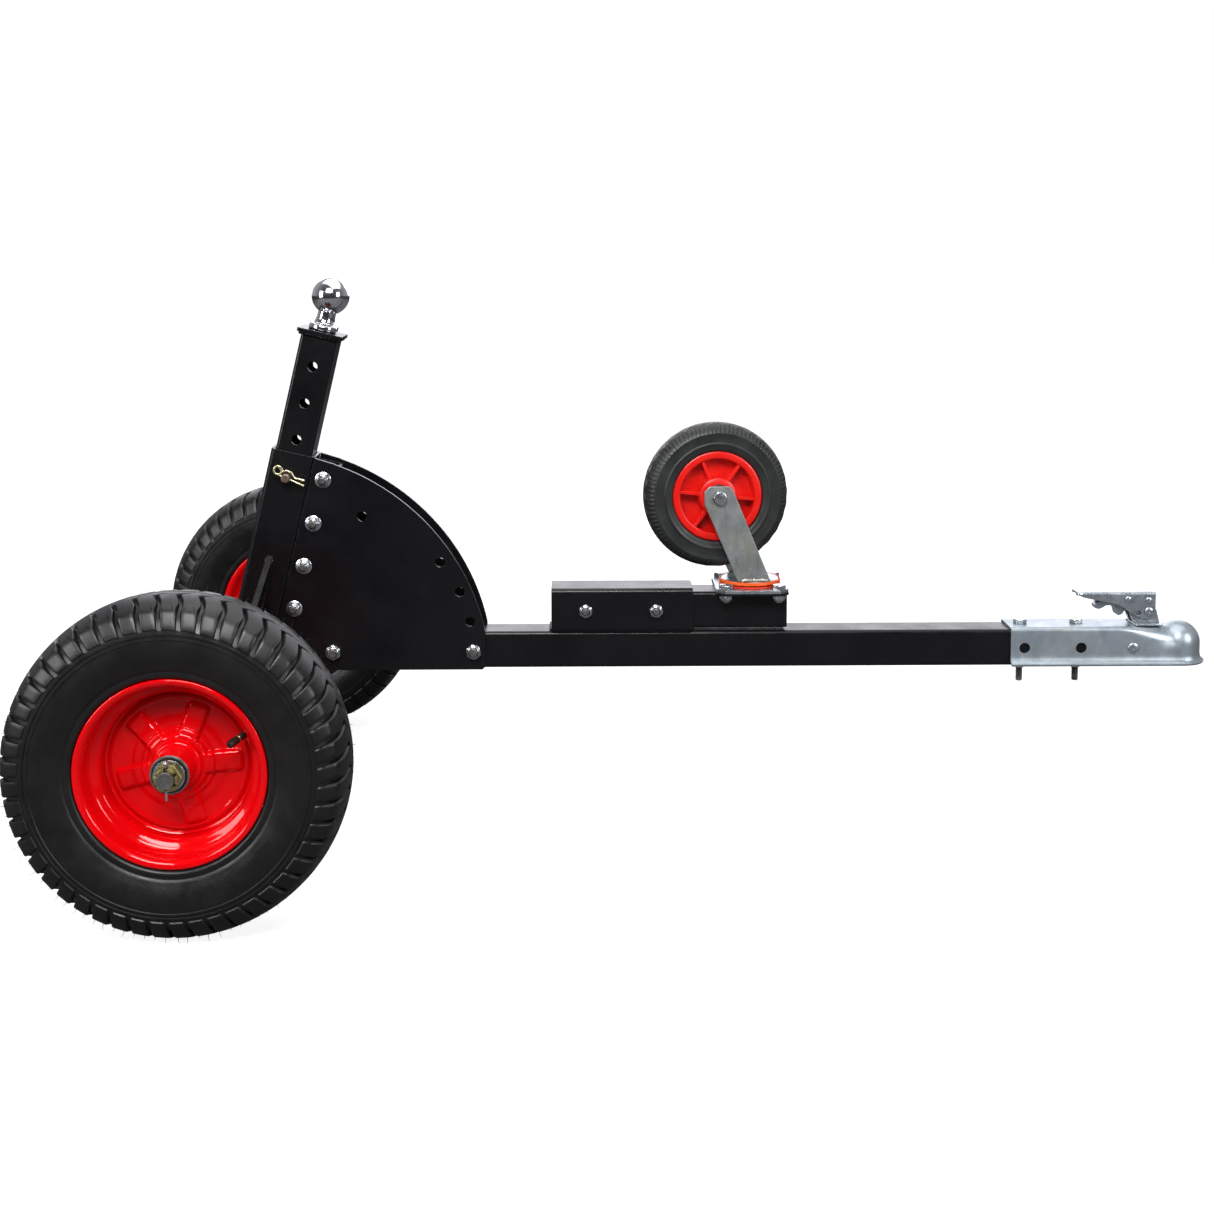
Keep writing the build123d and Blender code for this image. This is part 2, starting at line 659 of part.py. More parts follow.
def coupler_lever():
    web_z, sheet = 104.5, LEVER_SHEET
    wall = make_face(Polyline(
        (1142, web_z + sheet), (1142, 103), (1150, 98), (1196, 90.5), (1207, 86.5), (1215, 78.4), (1232, 70.5),
        (1241, 69.6), (1252, 76), (1253.5, 82), (1251, web_z + sheet), close=True,
    ))
    outside = LEVER_WALL_IN + sheet
    lever = slab(wall, -outside, outside) - Pos(0, 0, web_z) * Box(
        4000, 2 * LEVER_WALL_IN, 80, align=(Align.CENTER, Align.CENTER, Align.MAX))
    lever -= rod_y(4.0 + HINGE_GAP, -30, 30, *LEVER_PIVOT)
    for point in (LEVER_RIVET, TRIGGER_PIVOT):
        lever -= rod_y(3.0, -30, 30, *point)
    return lever - rod_y(3.5, -30, 30, *LOCK_HOLE)


def coupler_trigger():
    outline = make_face(Polyline(
        (1171, 84), (1174, 81.5), (1179, 82), (1186, 86), (1193, 86.5), (1197, 82), (1199, 75), (1204, 72.5),
        (1210, 78), (1219, 92), (1219, 99), (1213, 102.5), (1203, 98), (1190, 93.5), (1173, 91), (1170, 88),
        close=True,
    ))
    return slab(outline, -6, 6) - rod_y(3.0 + HINGE_GAP, -30, 30, *TRIGGER_PIVOT)


def ball_clamp():
    """Clamp under the ball: a boss on its pivot, a cupped tongue behind the ball and an upright stem."""
    px, pz = CLAMP_PIVOT
    inner_r, outer_r = BALL_R + 1.6, BALL_R + 6.6

    def on_ball(radius, angle):
        return (SOCKET_X + radius * cos(radians(angle)), SOCKET_Z + radius * sin(radians(angle)))

    cup = make_face(
        ThreePointArc(on_ball(inner_r, 172), on_ball(inner_r, 205), on_ball(inner_r, 238))
        + Line(on_ball(inner_r, 238), on_ball(outer_r, 238))
        + ThreePointArc(on_ball(outer_r, 238), on_ball(outer_r, 205), on_ball(outer_r, 172))
        + Line(on_ball(outer_r, 172), on_ball(inner_r, 172))
    )
    arm = make_face(Polyline((px, pz - 9), (px, pz + 9), on_ball(outer_r - 1, 174), on_ball(outer_r - 1, 212), close=True))
    boss = Pos(px, pz) * Circle(9)
    stem = make_face(Polyline((1235.5, 30), (1243.5, 30), (1243.5, 71), (1235.5, 71), close=True))
    body = slab(cup, -15, 15) + slab(arm, -11, 11) + slab(boss, -11, 11) + slab(stem, -5, 5)
    return body - rod_y(4.0 + HINGE_GAP, -30, 30, px, pz)


# ---------------------------------------------------------------- write every piece

os.makedirs("parts", exist_ok=True)

for side, sign in SIDES:
    for piece, shapes in wheel_pieces(sign).items():
        save(f"{piece}_{side}", *shapes)
    save(f"quadrant_plate_{side}", quadrant_plate(sign))

both = [sign for _, sign in SIDES]
save("axle_tubes", *[at_side(sign, piece) for sign in both for piece in (axle_tube(), gusset())])
save("axle_stubs", *[at_side(sign, axle_stub()) for sign in both])
save("axle_washers", *[at_side(sign, axle_washer()) for sign in both])
save("castle_nuts", *[at_side(sign, castle_nut()) for sign in both])
save("cotter_pins", *[at_side(sign, cotter_pin()) for sign in both])

save("mast_outer_tube", mast_outer())
save("mast_inner_tube", mast_inner())
save("mast_cap_plate", mast_cap())
save("hitch_ball", hitch_ball())
save("ball_nut", ball_nut())
save("hitch_pin", hitch_pin())
save("r_clip", r_clip())

PLATE_OUT = PLATE_IN + PLATE_THICK
plate_bolt_spots = [mast_point(PLATE_BOLT_FORWARD, along) for along in PLATE_BOLT_AT]
save("quadrant_spine", quadrant_spine())
save("plate_bolts", *[
    cross_bolt(x, z, SMALL_BOLT_R, SMALL_BOLT_AF, PLATE_OUT, 11) for x, z in plate_bolt_spots])
save("plate_nuts", *[
    cross_nut(x, z, SMALL_BOLT_R, 15.0, PLATE_OUT, 11, 2) for x, z in plate_bolt_spots])
save("pivot_bolt", cross_bolt(PIVOT_X, BAR_Z, BOLT_R, BOLT_AF, PLATE_OUT, 13))
save("pivot_nut", cross_nut(PIVOT_X, BAR_Z, BOLT_R, BOLT_AF, PLATE_OUT))
LOCK_X = PIVOT_X + LOCK_R
save("lock_bolt", cross_bolt(LOCK_X, BAR_Z, BOLT_R, BOLT_AF, PLATE_OUT + 0.3, 13),
     cross_nut(LOCK_X, BAR_Z, BOLT_R, BOLT_AF, PLATE_OUT + 0.3))

save("tow_bar_tube", tow_bar())
save("receiver_tube", receiver())
save("receiver_bolts", *[
    cross_bolt(x, RECEIVER_Z, SMALL_BOLT_R, SMALL_BOLT_AF, RECEIVER / 2, 11) for x in RECEIVER_BOLT_X])
save("receiver_nuts", *[
    cross_nut(x, RECEIVER_Z, SMALL_BOLT_R, SMALL_BOLT_AF, RECEIVER / 2) for x in RECEIVER_BOLT_X])

save("caster_mount", caster_mount())
save("caster_plate", caster_plate(MOUNT_TOP + WELD_PLATE, PLATE_TOP, 12))
bolt_places = [Pos(SWIVEL_X + x, y, 0) for x, y in corner_spots()]
save("caster_bolts", *[
    place * hex_bolt(SMALL_BOLT_R, SMALL_BOLT_AF, 6.5, MOUNT_TOP - 11, PLATE_TOP) for place in bolt_places])
save("caster_nuts", *[
    place * hex_nut(SMALL_BOLT_AF, SMALL_BOLT_R, MOUNT_TOP - 9, MOUNT_TOP, 9.5, 1.5) for place in bolt_places])
save("kingpin", kingpin())
save("swivel_balls", *swivel_balls())
save("dust_ring_lower", Pos(SWIVEL_X, 0, PLATE_TOP) * ring(RING_R, 34, 0, 2.4))
save("dust_ring_upper", in_caster(ring(RING_R, CROWN_R, 4.0, 8.4)))
save("caster_fork", caster_fork())
save("caster_axle_bolt", caster_axle())
save("caster_axle_nut", caster_axle_nut())
save("caster_tyre", in_caster_wheel(caster_tyre()))
save("caster_rim", in_caster_wheel(caster_rim()))
save("caster_bearings", *[
    in_caster_wheel(bearing(16, SMALL_BOLT_R + HINGE_GAP, low, low + 10)) for low in (-26, 16)])

save("coupler_body", coupler_body())
save("coupler_bolts", *[make(x) for x in COUPLER_BOLT_X for make in (coupler_bolt, coupler_nut)])
save("coupler_rivets", rivet(CLAMP_PIVOT, 4.0, 7.8, COUPLER_HALF),
     rivet(LEVER_PIVOT, 4.0, 6.5, LEVER_WALL_IN + LEVER_SHEET + 0.3))
save("latch_bracket", latch_bracket())
save("coupler_lever", coupler_lever())
save("lever_rivets", *[
    rivet(point, 3.0, 4.6, LEVER_WALL_IN + LEVER_SHEET) for point in (LEVER_RIVET, TRIGGER_PIVOT)])
save("coupler_trigger", coupler_trigger())
save("ball_clamp", ball_clamp())

box = Compound(children=list(made.values())).bounding_box()
print(len(made), "pieces;", "box", box.min, box.max)
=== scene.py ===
import json
import math
import random
import bmesh
import bpy
from mathutils import Matrix, Vector


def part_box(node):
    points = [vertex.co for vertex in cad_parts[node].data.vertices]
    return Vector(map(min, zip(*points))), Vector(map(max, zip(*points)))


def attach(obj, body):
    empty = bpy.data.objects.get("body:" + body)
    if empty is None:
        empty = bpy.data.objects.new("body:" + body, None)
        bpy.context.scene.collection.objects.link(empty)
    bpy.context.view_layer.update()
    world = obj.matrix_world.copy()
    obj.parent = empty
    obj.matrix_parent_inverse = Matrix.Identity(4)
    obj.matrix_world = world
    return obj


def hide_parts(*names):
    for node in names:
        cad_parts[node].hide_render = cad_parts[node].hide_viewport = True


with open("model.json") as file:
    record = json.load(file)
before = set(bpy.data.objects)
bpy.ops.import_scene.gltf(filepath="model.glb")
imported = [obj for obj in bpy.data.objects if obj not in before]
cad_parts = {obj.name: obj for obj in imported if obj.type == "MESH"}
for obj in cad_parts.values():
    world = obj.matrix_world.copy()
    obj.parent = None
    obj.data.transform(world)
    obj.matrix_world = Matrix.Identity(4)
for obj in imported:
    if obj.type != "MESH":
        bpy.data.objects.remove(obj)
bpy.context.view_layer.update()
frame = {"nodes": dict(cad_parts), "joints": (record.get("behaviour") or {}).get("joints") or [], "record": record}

scene = bpy.context.scene
joints = {joint["name"]: joint for joint in frame["joints"]}
mounts = {mount["name"]: mount for mount in frame["record"]["mounts"]}

# ------------------------------------------------------------------ places taken from the frame
# Pieces are modelled in millimetres in local frames that these matrices carry into the row frame.

MILLIMETRE = 0.001


def at(place):
    return Matrix.Translation(Vector(place)) @ Matrix.Scale(MILLIMETRE, 4)


def turn(degrees, axis):
    return Matrix.Rotation(math.radians(degrees), 4, axis)


def move(x, y, z):
    return Matrix.Translation((x, y, z))


IDENTITY = Matrix.Identity(4)
MIRROR_Y = Matrix.Scale(-1, 4, (0, 1, 0))
SIDES = {"left": 1, "right": -1}
# A shape built up +Z then points along +Y, -Y or -Z.
TO_LEFT, TO_RIGHT, UPSIDE_DOWN = turn(-90, "X"), turn(90, "X"), turn(180, "X")

wheel_right = Vector(joints["wheel_right_spin"]["pos_m"])
wheel_left = Vector(joints["wheel_left_spin"]["pos_m"])
axle = (wheel_right + wheel_left) / 2
ROOT = at(axle)
mast_axis = Vector(joints["mast_height"]["axis"])
LEAN = math.degrees(math.atan2(mast_axis.x, mast_axis.z))
MAST = ROOT @ turn(LEAN, "Y")
spin_axis = Vector(joints["caster_spin"]["axis"])
REST_TURN = math.degrees(math.atan2(-spin_axis.x, spin_axis.y))
SWIVEL = at(joints["caster_turn"]["pos_m"]) @ turn(REST_TURN, "Z")
CASTER_WHEEL = at(joints["caster_spin"]["pos_m"]) @ turn(REST_TURN, "Z")


def local(frame_matrix, place):
    return frame_matrix.inverted() @ Vector(place)


def corners(node):
    """A CAD node's lowest and highest corner, in the axle's frame."""
    return [local(ROOT, corner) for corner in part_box(node)]


def solids(node):
    """Lowest and highest corner, in the axle's frame, of each separate solid in a CAD node."""
    mesh, to_axle = frame["nodes"][node].data, ROOT.inverted()
    group, seen = list(range(len(mesh.vertices))), {}

    def top(i):
        while group[i] != i:
            group[i] = group[group[i]]
            i = group[i]
        return i

    for vertex in mesh.vertices:
        key = tuple(round(c, 5) for c in vertex.co)
        group[top(vertex.index)] = top(seen.setdefault(key, vertex.index))
    for edge in mesh.edges:
        group[top(edge.vertices[0])] = top(edge.vertices[1])
    clusters = {}
    for vertex in mesh.vertices:
        clusters.setdefault(top(vertex.index), []).append(to_axle @ vertex.co)
    boxes = [tuple(Vector(end(p[i] for p in points) for i in range(3)) for end in (min, max))
             for points in clusters.values()]
    return sorted(boxes, key=lambda box: [round(c) for c in box[0]])


# ------------------------------------------------------------------ mesh helpers

class Build:
    """Vertices and faces gathered from several shapes before they become one piece."""

    def __init__(self, shape=None, matrix=IDENTITY):
        self.verts, self.faces = [], []
        if shape:
            self.add(shape, matrix)

    def add(self, shape, matrix=IDENTITY):
        verts, faces = shape
        start = len(self.verts)
        self.verts += [matrix @ Vector(v) for v in verts]
        flip = matrix.determinant() < 0
        for face in faces:
            ring = [start + i for i in face]
            self.faces.append(ring[::-1] if flip else ring)
        return self

    def shape(self):
        return self.verts, self.faces


def polar(r, degrees):
    angle = math.radians(degrees)
    return r * math.cos(angle), r * math.sin(angle)


def lathe(profile, segments, caps=True, start=0.0, sweep=360.0):
    """Turn (radius, height) points about Z."""
    full = sweep >= 360
    columns = segments if full else segments + 1
    verts, faces = [], []
    for j in range(columns):
        verts += [(*polar(r, start + sweep * j / segments), h) for r, h in profile]
    rows = len(profile)
    for j in range(segments):
        a, b = j * rows, ((j + 1) % columns) * rows
        for i in range(rows - 1):
            ends = [k for k in (i, i + 1) if profile[k][0] > 1e-6]
            if len(ends) == 2:
                faces.append((a + i, b + i, b + i + 1, a + i + 1))
            elif ends:
                pole = i if ends[0] == i + 1 else i + 1
                faces.append((a + pole, b + ends[0], a + ends[0]))
    if caps and full:
        for i in (0, rows - 1):
            if profile[i][0] > 1e-6:
                faces.append([j * rows + i for j in range(columns)])
    return verts, faces


def turned(profile, segments, matrix=IDENTITY, caps=True):
    return Build(lathe(profile, segments, caps), matrix)


def mirrored(half):
    """A profile's first half and its reflection, which comes back the other way."""
    return half + [(r, -h) for r, h in reversed(half)]


def bands(rows, count):
    """Faces between rows of count vertices, each row a closed ring."""
    return [(a + j, a + (j + 1) % count, a + count + (j + 1) % count, a + count + j)
            for a in range(0, (rows - 1) * count, count) for j in range(count)]


def prism(outline, low, high, plane="XZ"):
    """Extrude a 2-D outline, drawn as (x, z) along Y or as (x, y) along Z."""
    count = len(outline)
    if plane == "XZ":
        verts = [(x, low, z) for x, z in outline] + [(x, high, z) for x, z in outline]
    else:
        verts = [(x, y, low) for x, y in outline] + [(x, y, high) for x, y in outline]
    faces = [list(range(count)), list(range(2 * count - 1, count - 1, -1))]
    faces += [(i, (i + 1) % count, count + (i + 1) % count, count + i) for i in range(count)]
    return verts, faces


def rounded(points, radius, steps=6):
    """Round the corners of a closed outline. A point may carry its own radius as a third value."""
    result, count = [], len(points)
    for i, point in enumerate(points):
        r = point[2] if len(point) > 2 else radius
        here = Vector(point[:2])
        back, ahead = (Vector(points[(i + k) % count][:2]) - here for k in (-1, 1))
        if r <= 0:
            result.append(tuple(here))
            continue
        half = back.angle(ahead) / 2
        cut_back = min(r / math.tan(half), back.length * 0.49, ahead.length * 0.49)
        start, end = here + back.normalized() * cut_back, here + ahead.normalized() * cut_back
        for k in range(steps + 1):
            t = k / steps
            result.append(tuple((1 - t) ** 2 * start + 2 * t * (1 - t) * here + t * t * end))
    return result


def pipe(points, radius, sides):
    """A round tube along points, as thick as radius(i) at the point with index i."""
    points = [Vector(p) for p in points]
    last, verts, normal = len(points) - 1, [], None
    for i, point in enumerate(points):
        along = (points[min(i + 1, last)] - points[max(i - 1, 0)]).normalized()
        normal = (along.orthogonal() if normal is None else normal - along * normal.dot(along)).normalized()
        side = along.cross(normal)
        for k in range(sides):
            angle = 2 * math.pi * k / sides
            verts.append(point + (normal * math.cos(angle) + side * math.sin(angle)) * radius(i))
    ends = [list(range(sides))[::-1], list(range(last * sides, (last + 1) * sides))]
    return verts, bands(len(points), sides) + ends


def shade(work, degrees):
    """Smooth faces, with a sharp edge wherever two of them meet at more than this angle."""
    for face in work.faces:
        face.smooth = True
    for edge in work.edges:
        edge.smooth = len(edge.link_faces) < 2 or edge.calc_face_angle(0) < math.radians(degrees)


def new_object(name, build, matrix, smooth=35.0):
    mesh = bpy.data.meshes.new(name)
    mesh.from_pydata([matrix @ v for v in build.verts], [], build.faces)
    work = bmesh.new()
    work.from_mesh(mesh)
    bmesh.ops.remove_doubles(work, verts=work.verts, dist=1e-6)
    bmesh.ops.recalc_face_normals(work, faces=work.faces)
    shade(work, smooth)
    work.to_mesh(mesh)
    work.free()
    thing = bpy.data.objects.new(name, mesh)
    scene.collection.objects.link(thing)
    return thing


def bake_modifiers(thing):
    bpy.context.view_layer.update()
    shape = thing.evaluated_get(bpy.context.evaluated_depsgraph_get())
    mesh = bpy.data.meshes.new_from_object(shape)
    thing.modifiers.clear()
    thing.data = mesh


def cut(thing, shapes, matrix):
    """Take shapes away from a piece."""
    for shape in shapes:
        tool = new_object("cutter", Build(shape), matrix)
        change = thing.modifiers.new("cut", "BOOLEAN")
        change.object, change.operation, change.solver = tool, "DIFFERENCE", "EXACT"
        bake_modifiers(thing)
        bpy.data.objects.remove(tool)


def piece(name, build, material, body, slot, matrix=ROOT, replaces=(), bevel=0.0, smooth=35.0, sheet=0.0, cutters=()):
    """A visible piece. Sheet is the thickness of folded metal; cutters are shapes taken away from it."""
    thing = new_object(name, build, matrix, smooth)
    if sheet:
        solid = thing.modifiers.new("sheet", "SOLIDIFY")
        solid.thickness, solid.offset, solid.use_even_offset = sheet * MILLIMETRE, -1.0, True
        bake_modifiers(thing)
    cut(thing, cutters, matrix)
    if sheet or cutters:
        work = bmesh.new()
        work.from_mesh(thing.data)
        shade(work, smooth)
        work.to_mesh(thing.data)
        work.free()
    if bevel:
        for edge in thing.data.edges:
            edge.use_edge_sharp = False
        edges = thing.modifiers.new("edges", "BEVEL")
        edges.width, edges.segments, edges.limit_method = bevel * MILLIMETRE, 3, "ANGLE"
        edges.angle_limit, edges.harden_normals = math.radians(30), True
    thing.data.materials.clear()
    thing.data.materials.append(material)
    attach(thing, body)
    if replaces:
        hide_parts(*replaces)


# ------------------------------------------------------------------ materials

class Tree:
    """A node tree, with short ways to add what the finishes and the studio share."""

    def __init__(self, owner):
        owner.use_nodes = True
        self.tree = owner.node_tree

    def new(self, kind, values=None, **settings):
        node = self.tree.nodes.new(kind)
        for key, value in settings.items():
            setattr(node, key, value)
        for key, value in (values or {}).items():
            node.inputs[key].default_value = value
        return node

    def link(self, source, target):
        self.tree.links.new(source, target)

    def span(self, source, low, high, from_low=0.3, from_high=0.7):
        node = self.new("ShaderNodeMapRange",
                        {"From Min": from_low, "From Max": from_high, "To Min": low, "To Max": high})
        self.link(source, node.inputs["Value"])
        return node.outputs["Result"]

    def ramp(self, source, *stops):
        node = self.new("ShaderNodeValToRGB")
        ramp = node.color_ramp
        while len(ramp.elements) < len(stops):
            ramp.elements.new(0.5)
        for element, (position, colour) in zip(ramp.elements, stops):
            element.position, element.color = position, (*colour, 1)
        self.link(source, node.inputs["Fac"])
        return node.outputs["Color"]


class Finish(Tree):
    """A material's tree around its Principled shader, textured by the piece's own coordinates."""

    def __init__(self, name):
        self.material = bpy.data.materials.new(name)
        super().__init__(self.material)
        self.shader = self.tree.nodes["Principled BSDF"]
        self.place = self.new("ShaderNodeTexCoord").outputs["Object"]

    def set(self, **values):
        for key, value in values.items():
            self.shader.inputs[key.replace("_", " ")].default_value = value

    def noise(self, scale, detail=3.0, rough=0.5, stretch=None):
        node = self.new("ShaderNodeTexNoise", {"Scale": scale, "Detail": detail, "Roughness": rough})
        source = self.place
        if stretch:
            mapping = self.new("ShaderNodeMapping", {"Scale": stretch})
            self.link(source, mapping.inputs["Vector"])
            source = mapping.outputs["Vector"]
        self.link(source, node.inputs["Vector"])
        return node.outputs["Fac"]

    def mix(self, factor, first, second):
        node = self.new("ShaderNodeMix", data_type="RGBA")
        self.link(factor, node.inputs["Factor"])
        for socket, value in ((node.inputs[6], first), (node.inputs[7], second)):
            if isinstance(value, tuple):
                socket.default_value = (*value, 1)
            else:
                self.link(value, socket)
        return node.outputs[2]

    def combine(self, first, second, operation="ADD"):
        node = self.new("ShaderNodeMath", operation=operation)
        for socket, value in zip(node.inputs, (first, second)):
            if isinstance(value, (int, float)):
                socket.default_value = value
            else:
                self.link(value, socket)
        return node.outputs["Value"]

    def edge_mask(self, radius):
        """1 along worn edges and 0 elsewhere, from how far a rounded normal leaves the true one."""
        rounded_normal = self.new("ShaderNodeBevel", {"Radius": radius}, samples=6)
        true_normal = self.new("ShaderNodeNewGeometry").outputs["Normal"]
        dot = self.new("ShaderNodeVectorMath", operation="DOT_PRODUCT")
        self.link(rounded_normal.outputs["Normal"], dot.inputs[0])
        self.link(true_normal, dot.inputs[1])
        return self.span(dot.outputs["Value"], 1.0, 0.0, 0.82, 0.99), rounded_normal.outputs["Normal"]

    def bump(self, source, strength, distance, normal=None):
        node = self.new("ShaderNodeBump", {"Strength": strength, "Distance": distance})
        self.link(source, node.inputs["Height"])
        if normal is not None:
            self.link(normal, node.inputs["Normal"])
        self.link(node.outputs["Normal"], self.shader.inputs["Normal"])

    def colour(self, source):
        self.link(source, self.shader.inputs["Base Color"])

    def roughness(self, source):
        self.link(source, self.shader.inputs["Roughness"])

    def painted_crevice_shade(self, source, reach, dark):
        """Painted shade in corners: the colour falls towards dark where the surface is closed in."""
        closed = self.new("ShaderNodeAmbientOcclusion", {"Distance": reach}, samples=6)
        return self.mix(self.span(closed.outputs["AO"], 0.0, 1.0, 0.32, 0.86), dark, source)


def powder_black():
    n = Finish("powder_coat_black")
    worn, round_normal = n.edge_mask(0.0011)
    patch = n.noise(9, 4)
    base = n.ramp(patch, (0.35, (0.0034, 0.0034, 0.0042)), (0.7, (0.006, 0.0059, 0.0069)))
    scuff = n.combine(worn, n.span(n.noise(160, 5, 0.7), 0.0, 0.4, 0.46, 0.66), "MULTIPLY")
    n.colour(n.mix(scuff, base, (0.05, 0.05, 0.054)))
    n.roughness(n.span(n.noise(22, 5, 0.6), 0.2, 0.36))
    n.set(Specular_IOR_Level=0.26, Coat_Weight=0.1, Coat_Roughness=0.12)
    peel = n.combine(n.noise(620, 2), n.combine(n.noise(2600, 2), 0.25, "MULTIPLY"))
    n.bump(peel, 0.16, 0.0004, round_normal)
    return n.material


def enamel_red():
    n = Finish("enamel_red")
    worn, round_normal = n.edge_mask(0.0009)
    base = n.ramp(n.noise(14, 3), (0.3, (0.60, 0.0006, 0.0024)), (0.7, (0.70, 0.0011, 0.0032)))
    chips = n.combine(worn, n.span(n.noise(260, 5, 0.7), 0.0, 0.6, 0.52, 0.66), "MULTIPLY")
    n.colour(n.mix(chips, base, (0.72, 0.03, 0.02)))
    n.roughness(n.span(n.noise(30, 4), 0.1, 0.2))
    n.set(Specular_IOR_Level=0.4, Specular_Tint=(1, 0.1, 0.1, 1), Coat_Weight=0.5, Coat_Roughness=0.05)
    n.bump(n.noise(420, 2), 0.07, 0.0005, round_normal)
    return n.material


def rubber(name, dark, light, rough_low, rough_high, grain):
    n = Finish(name)
    dust = n.span(n.noise(26, 6, 0.65), 0.0, 1.0, 0.38, 0.68)
    n.colour(n.mix(dust, dark, light))
    n.roughness(n.span(n.noise(46, 5, 0.6), rough_low, rough_high))
    n.set(Specular_IOR_Level=0.45)
    height = n.combine(n.noise(grain, 4, 0.7), n.combine(n.noise(grain * 0.12, 3), 0.6, "MULTIPLY"))
    n.bump(height, 0.32, 0.00025)
    return n.material


def plastic(name, first, second, rough):
    n = Finish(name)
    n.colour(n.ramp(n.noise(38, 4, 0.55), (0.3, first), (0.7, second)))
    n.roughness(n.span(n.noise(75, 4), rough - 0.07, rough + 0.07))
    n.set(Subsurface_Weight=0.04)
    flow = n.combine(n.noise(900, 2), n.combine(n.noise(60, 3), 0.5, "MULTIPLY"))
    n.bump(flow, 0.12, 0.0003)
    return n.material


def chrome():
    n = Finish("ball_chrome")
    n.colour(n.ramp(n.noise(18, 3), (0.3, (0.74, 0.75, 0.78)), (0.7, (0.84, 0.85, 0.87))))
    scratch = n.noise(260, 6, 0.75, (1, 1, 6))
    n.roughness(n.span(scratch, 0.08, 0.22, 0.35, 0.75))
    n.set(Metallic=1.0)
    n.bump(scratch, 0.03, 0.0001)
    return n.material


def zinc(name, dark, light, metal, rough, spangle, streak=(1, 1, 1), tint=None):
    """Plated steel: soft mottling, faint spangles and fine scratches, with brighter rubbed edges and painted shade in
    its crevices.
    """
    n = Finish(name)
    worn, round_normal = n.edge_mask(0.0007)
    fine = n.combine(n.noise(spangle * 5, 3), 0.35, "MULTIPLY")
    base = n.ramp(n.combine(n.noise(spangle, 5, 0.62, streak), fine), (0.48, dark), (0.86, light))
    if tint:
        base = n.mix(n.span(n.noise(spangle * 0.6, 4), 0.0, 0.55, 0.45, 0.65), base, tint)
    rubbed = n.mix(n.combine(worn, 0.5, "MULTIPLY"), base, tuple(min(1, c * 1.25) for c in light))
    # Painted shade: the colour falls towards 0.16 of the dark tone in corners and crevices.
    n.colour(n.painted_crevice_shade(rubbed, 0.0035, tuple(c * 0.16 for c in dark)))
    n.roughness(n.span(n.noise(spangle * 1.7, 6, 0.7, streak), rough - 0.09, rough + 0.11))
    n.set(Metallic=metal)
    grain = n.combine(n.noise(1500, 3, 0.6, streak), n.combine(n.noise(240, 3), 0.6, "MULTIPLY"))
    n.bump(grain, 0.1, 0.0003, round_normal)
    return n.material


def turned_steel(name, dark, light, rough):
    n = Finish(name)
    worn, round_normal = n.edge_mask(0.0006)
    base = n.ramp(n.noise(90, 5, 0.65), (0.32, dark), (0.7, light))
    rubbed = n.mix(n.combine(worn, 0.6, "MULTIPLY"), base, (0.5, 0.5, 0.5))
    # Painted shade: the colour falls towards near black in corners and crevices.
    n.colour(n.painted_crevice_shade(rubbed, 0.004, (0.01, 0.01, 0.01)))
    n.roughness(n.span(n.noise(150, 5, 0.7), rough - 0.1, rough + 0.14))
    n.set(Metallic=0.9)
    n.bump(n.noise(1300, 3, 0.6, (1, 0.1, 1)), 0.14, 0.0002, round_normal)
    return n.material


BLACK = powder_black()
RED = enamel_red()
RUBBER = rubber("tyre_rubber", (0.0036, 0.0036, 0.004), (0.0075, 0.0075, 0.008), 0.3, 0.46, 1900)
TUBE_RUBBER = rubber("valve_rubber", (0.006, 0.006, 0.006), (0.011, 0.011, 0.011), 0.35, 0.5, 2400)
CASTER_RUBBER = rubber("caster_rubber", (0.011, 0.012, 0.012), (0.022, 0.0235, 0.0235), 0.34, 0.52, 1700)
CASTER_RED = plastic("caster_red", (0.66, 0.0045, 0.002), (0.74, 0.008, 0.003), 0.34)
ORANGE = plastic("seal_orange", (0.80, 0.085, 0.006), (0.86, 0.115, 0.01), 0.36)
SEAL_RED = plastic("seal_red", (0.62, 0.02, 0.006), (0.7, 0.03, 0.008), 0.38)
CHROME = chrome()
STEEL = turned_steel("hub_steel", (0.05, 0.05, 0.052), (0.13, 0.13, 0.135), 0.36)
AXLE_STEEL = turned_steel("axle_steel", (0.16, 0.155, 0.15), (0.34, 0.33, 0.32), 0.38)
YELLOW = zinc("yellow_zinc", (0.36, 0.29, 0.1), (0.66, 0.58, 0.27), 0.9, 0.3, 120, tint=(0.42, 0.44, 0.2))
FASTENER = zinc("fastener_zinc", (0.46, 0.48, 0.5), (0.62, 0.64, 0.67), 0.94, 0.22, 90)
COUPLER = zinc("coupler_zinc", (0.30, 0.36, 0.41), (0.47, 0.53, 0.58), 0.72, 0.36, 24, (1, 1, 0.45),
               (0.38, 0.42, 0.43))
LEVER_ZINC = zinc("lever_zinc", (0.42, 0.47, 0.52), (0.56, 0.61, 0.65), 0.9, 0.27, 40)
FORK_ZINC = zinc("fork_zinc", (0.24, 0.265, 0.27), (0.42, 0.44, 0.44), 0.72, 0.38, 46, (1, 1, 0.5),
                 (0.36, 0.36, 0.3))
WELD = zinc("weld_bead", (0.28, 0.27, 0.23), (0.72, 0.71, 0.66), 0.85, 0.36, 300)
CLIP_YELLOW = zinc("clip_zinc", (0.52, 0.47, 0.26), (0.78, 0.74, 0.5), 0.88, 0.28, 200)
PIN_STEEL = zinc("pin_plating", (0.2, 0.14, 0.1), (0.42, 0.34, 0.27), 0.85, 0.34, 160)

# ------------------------------------------------------------------ main tyres

LUGS = 49
TYRE_R = 198.0


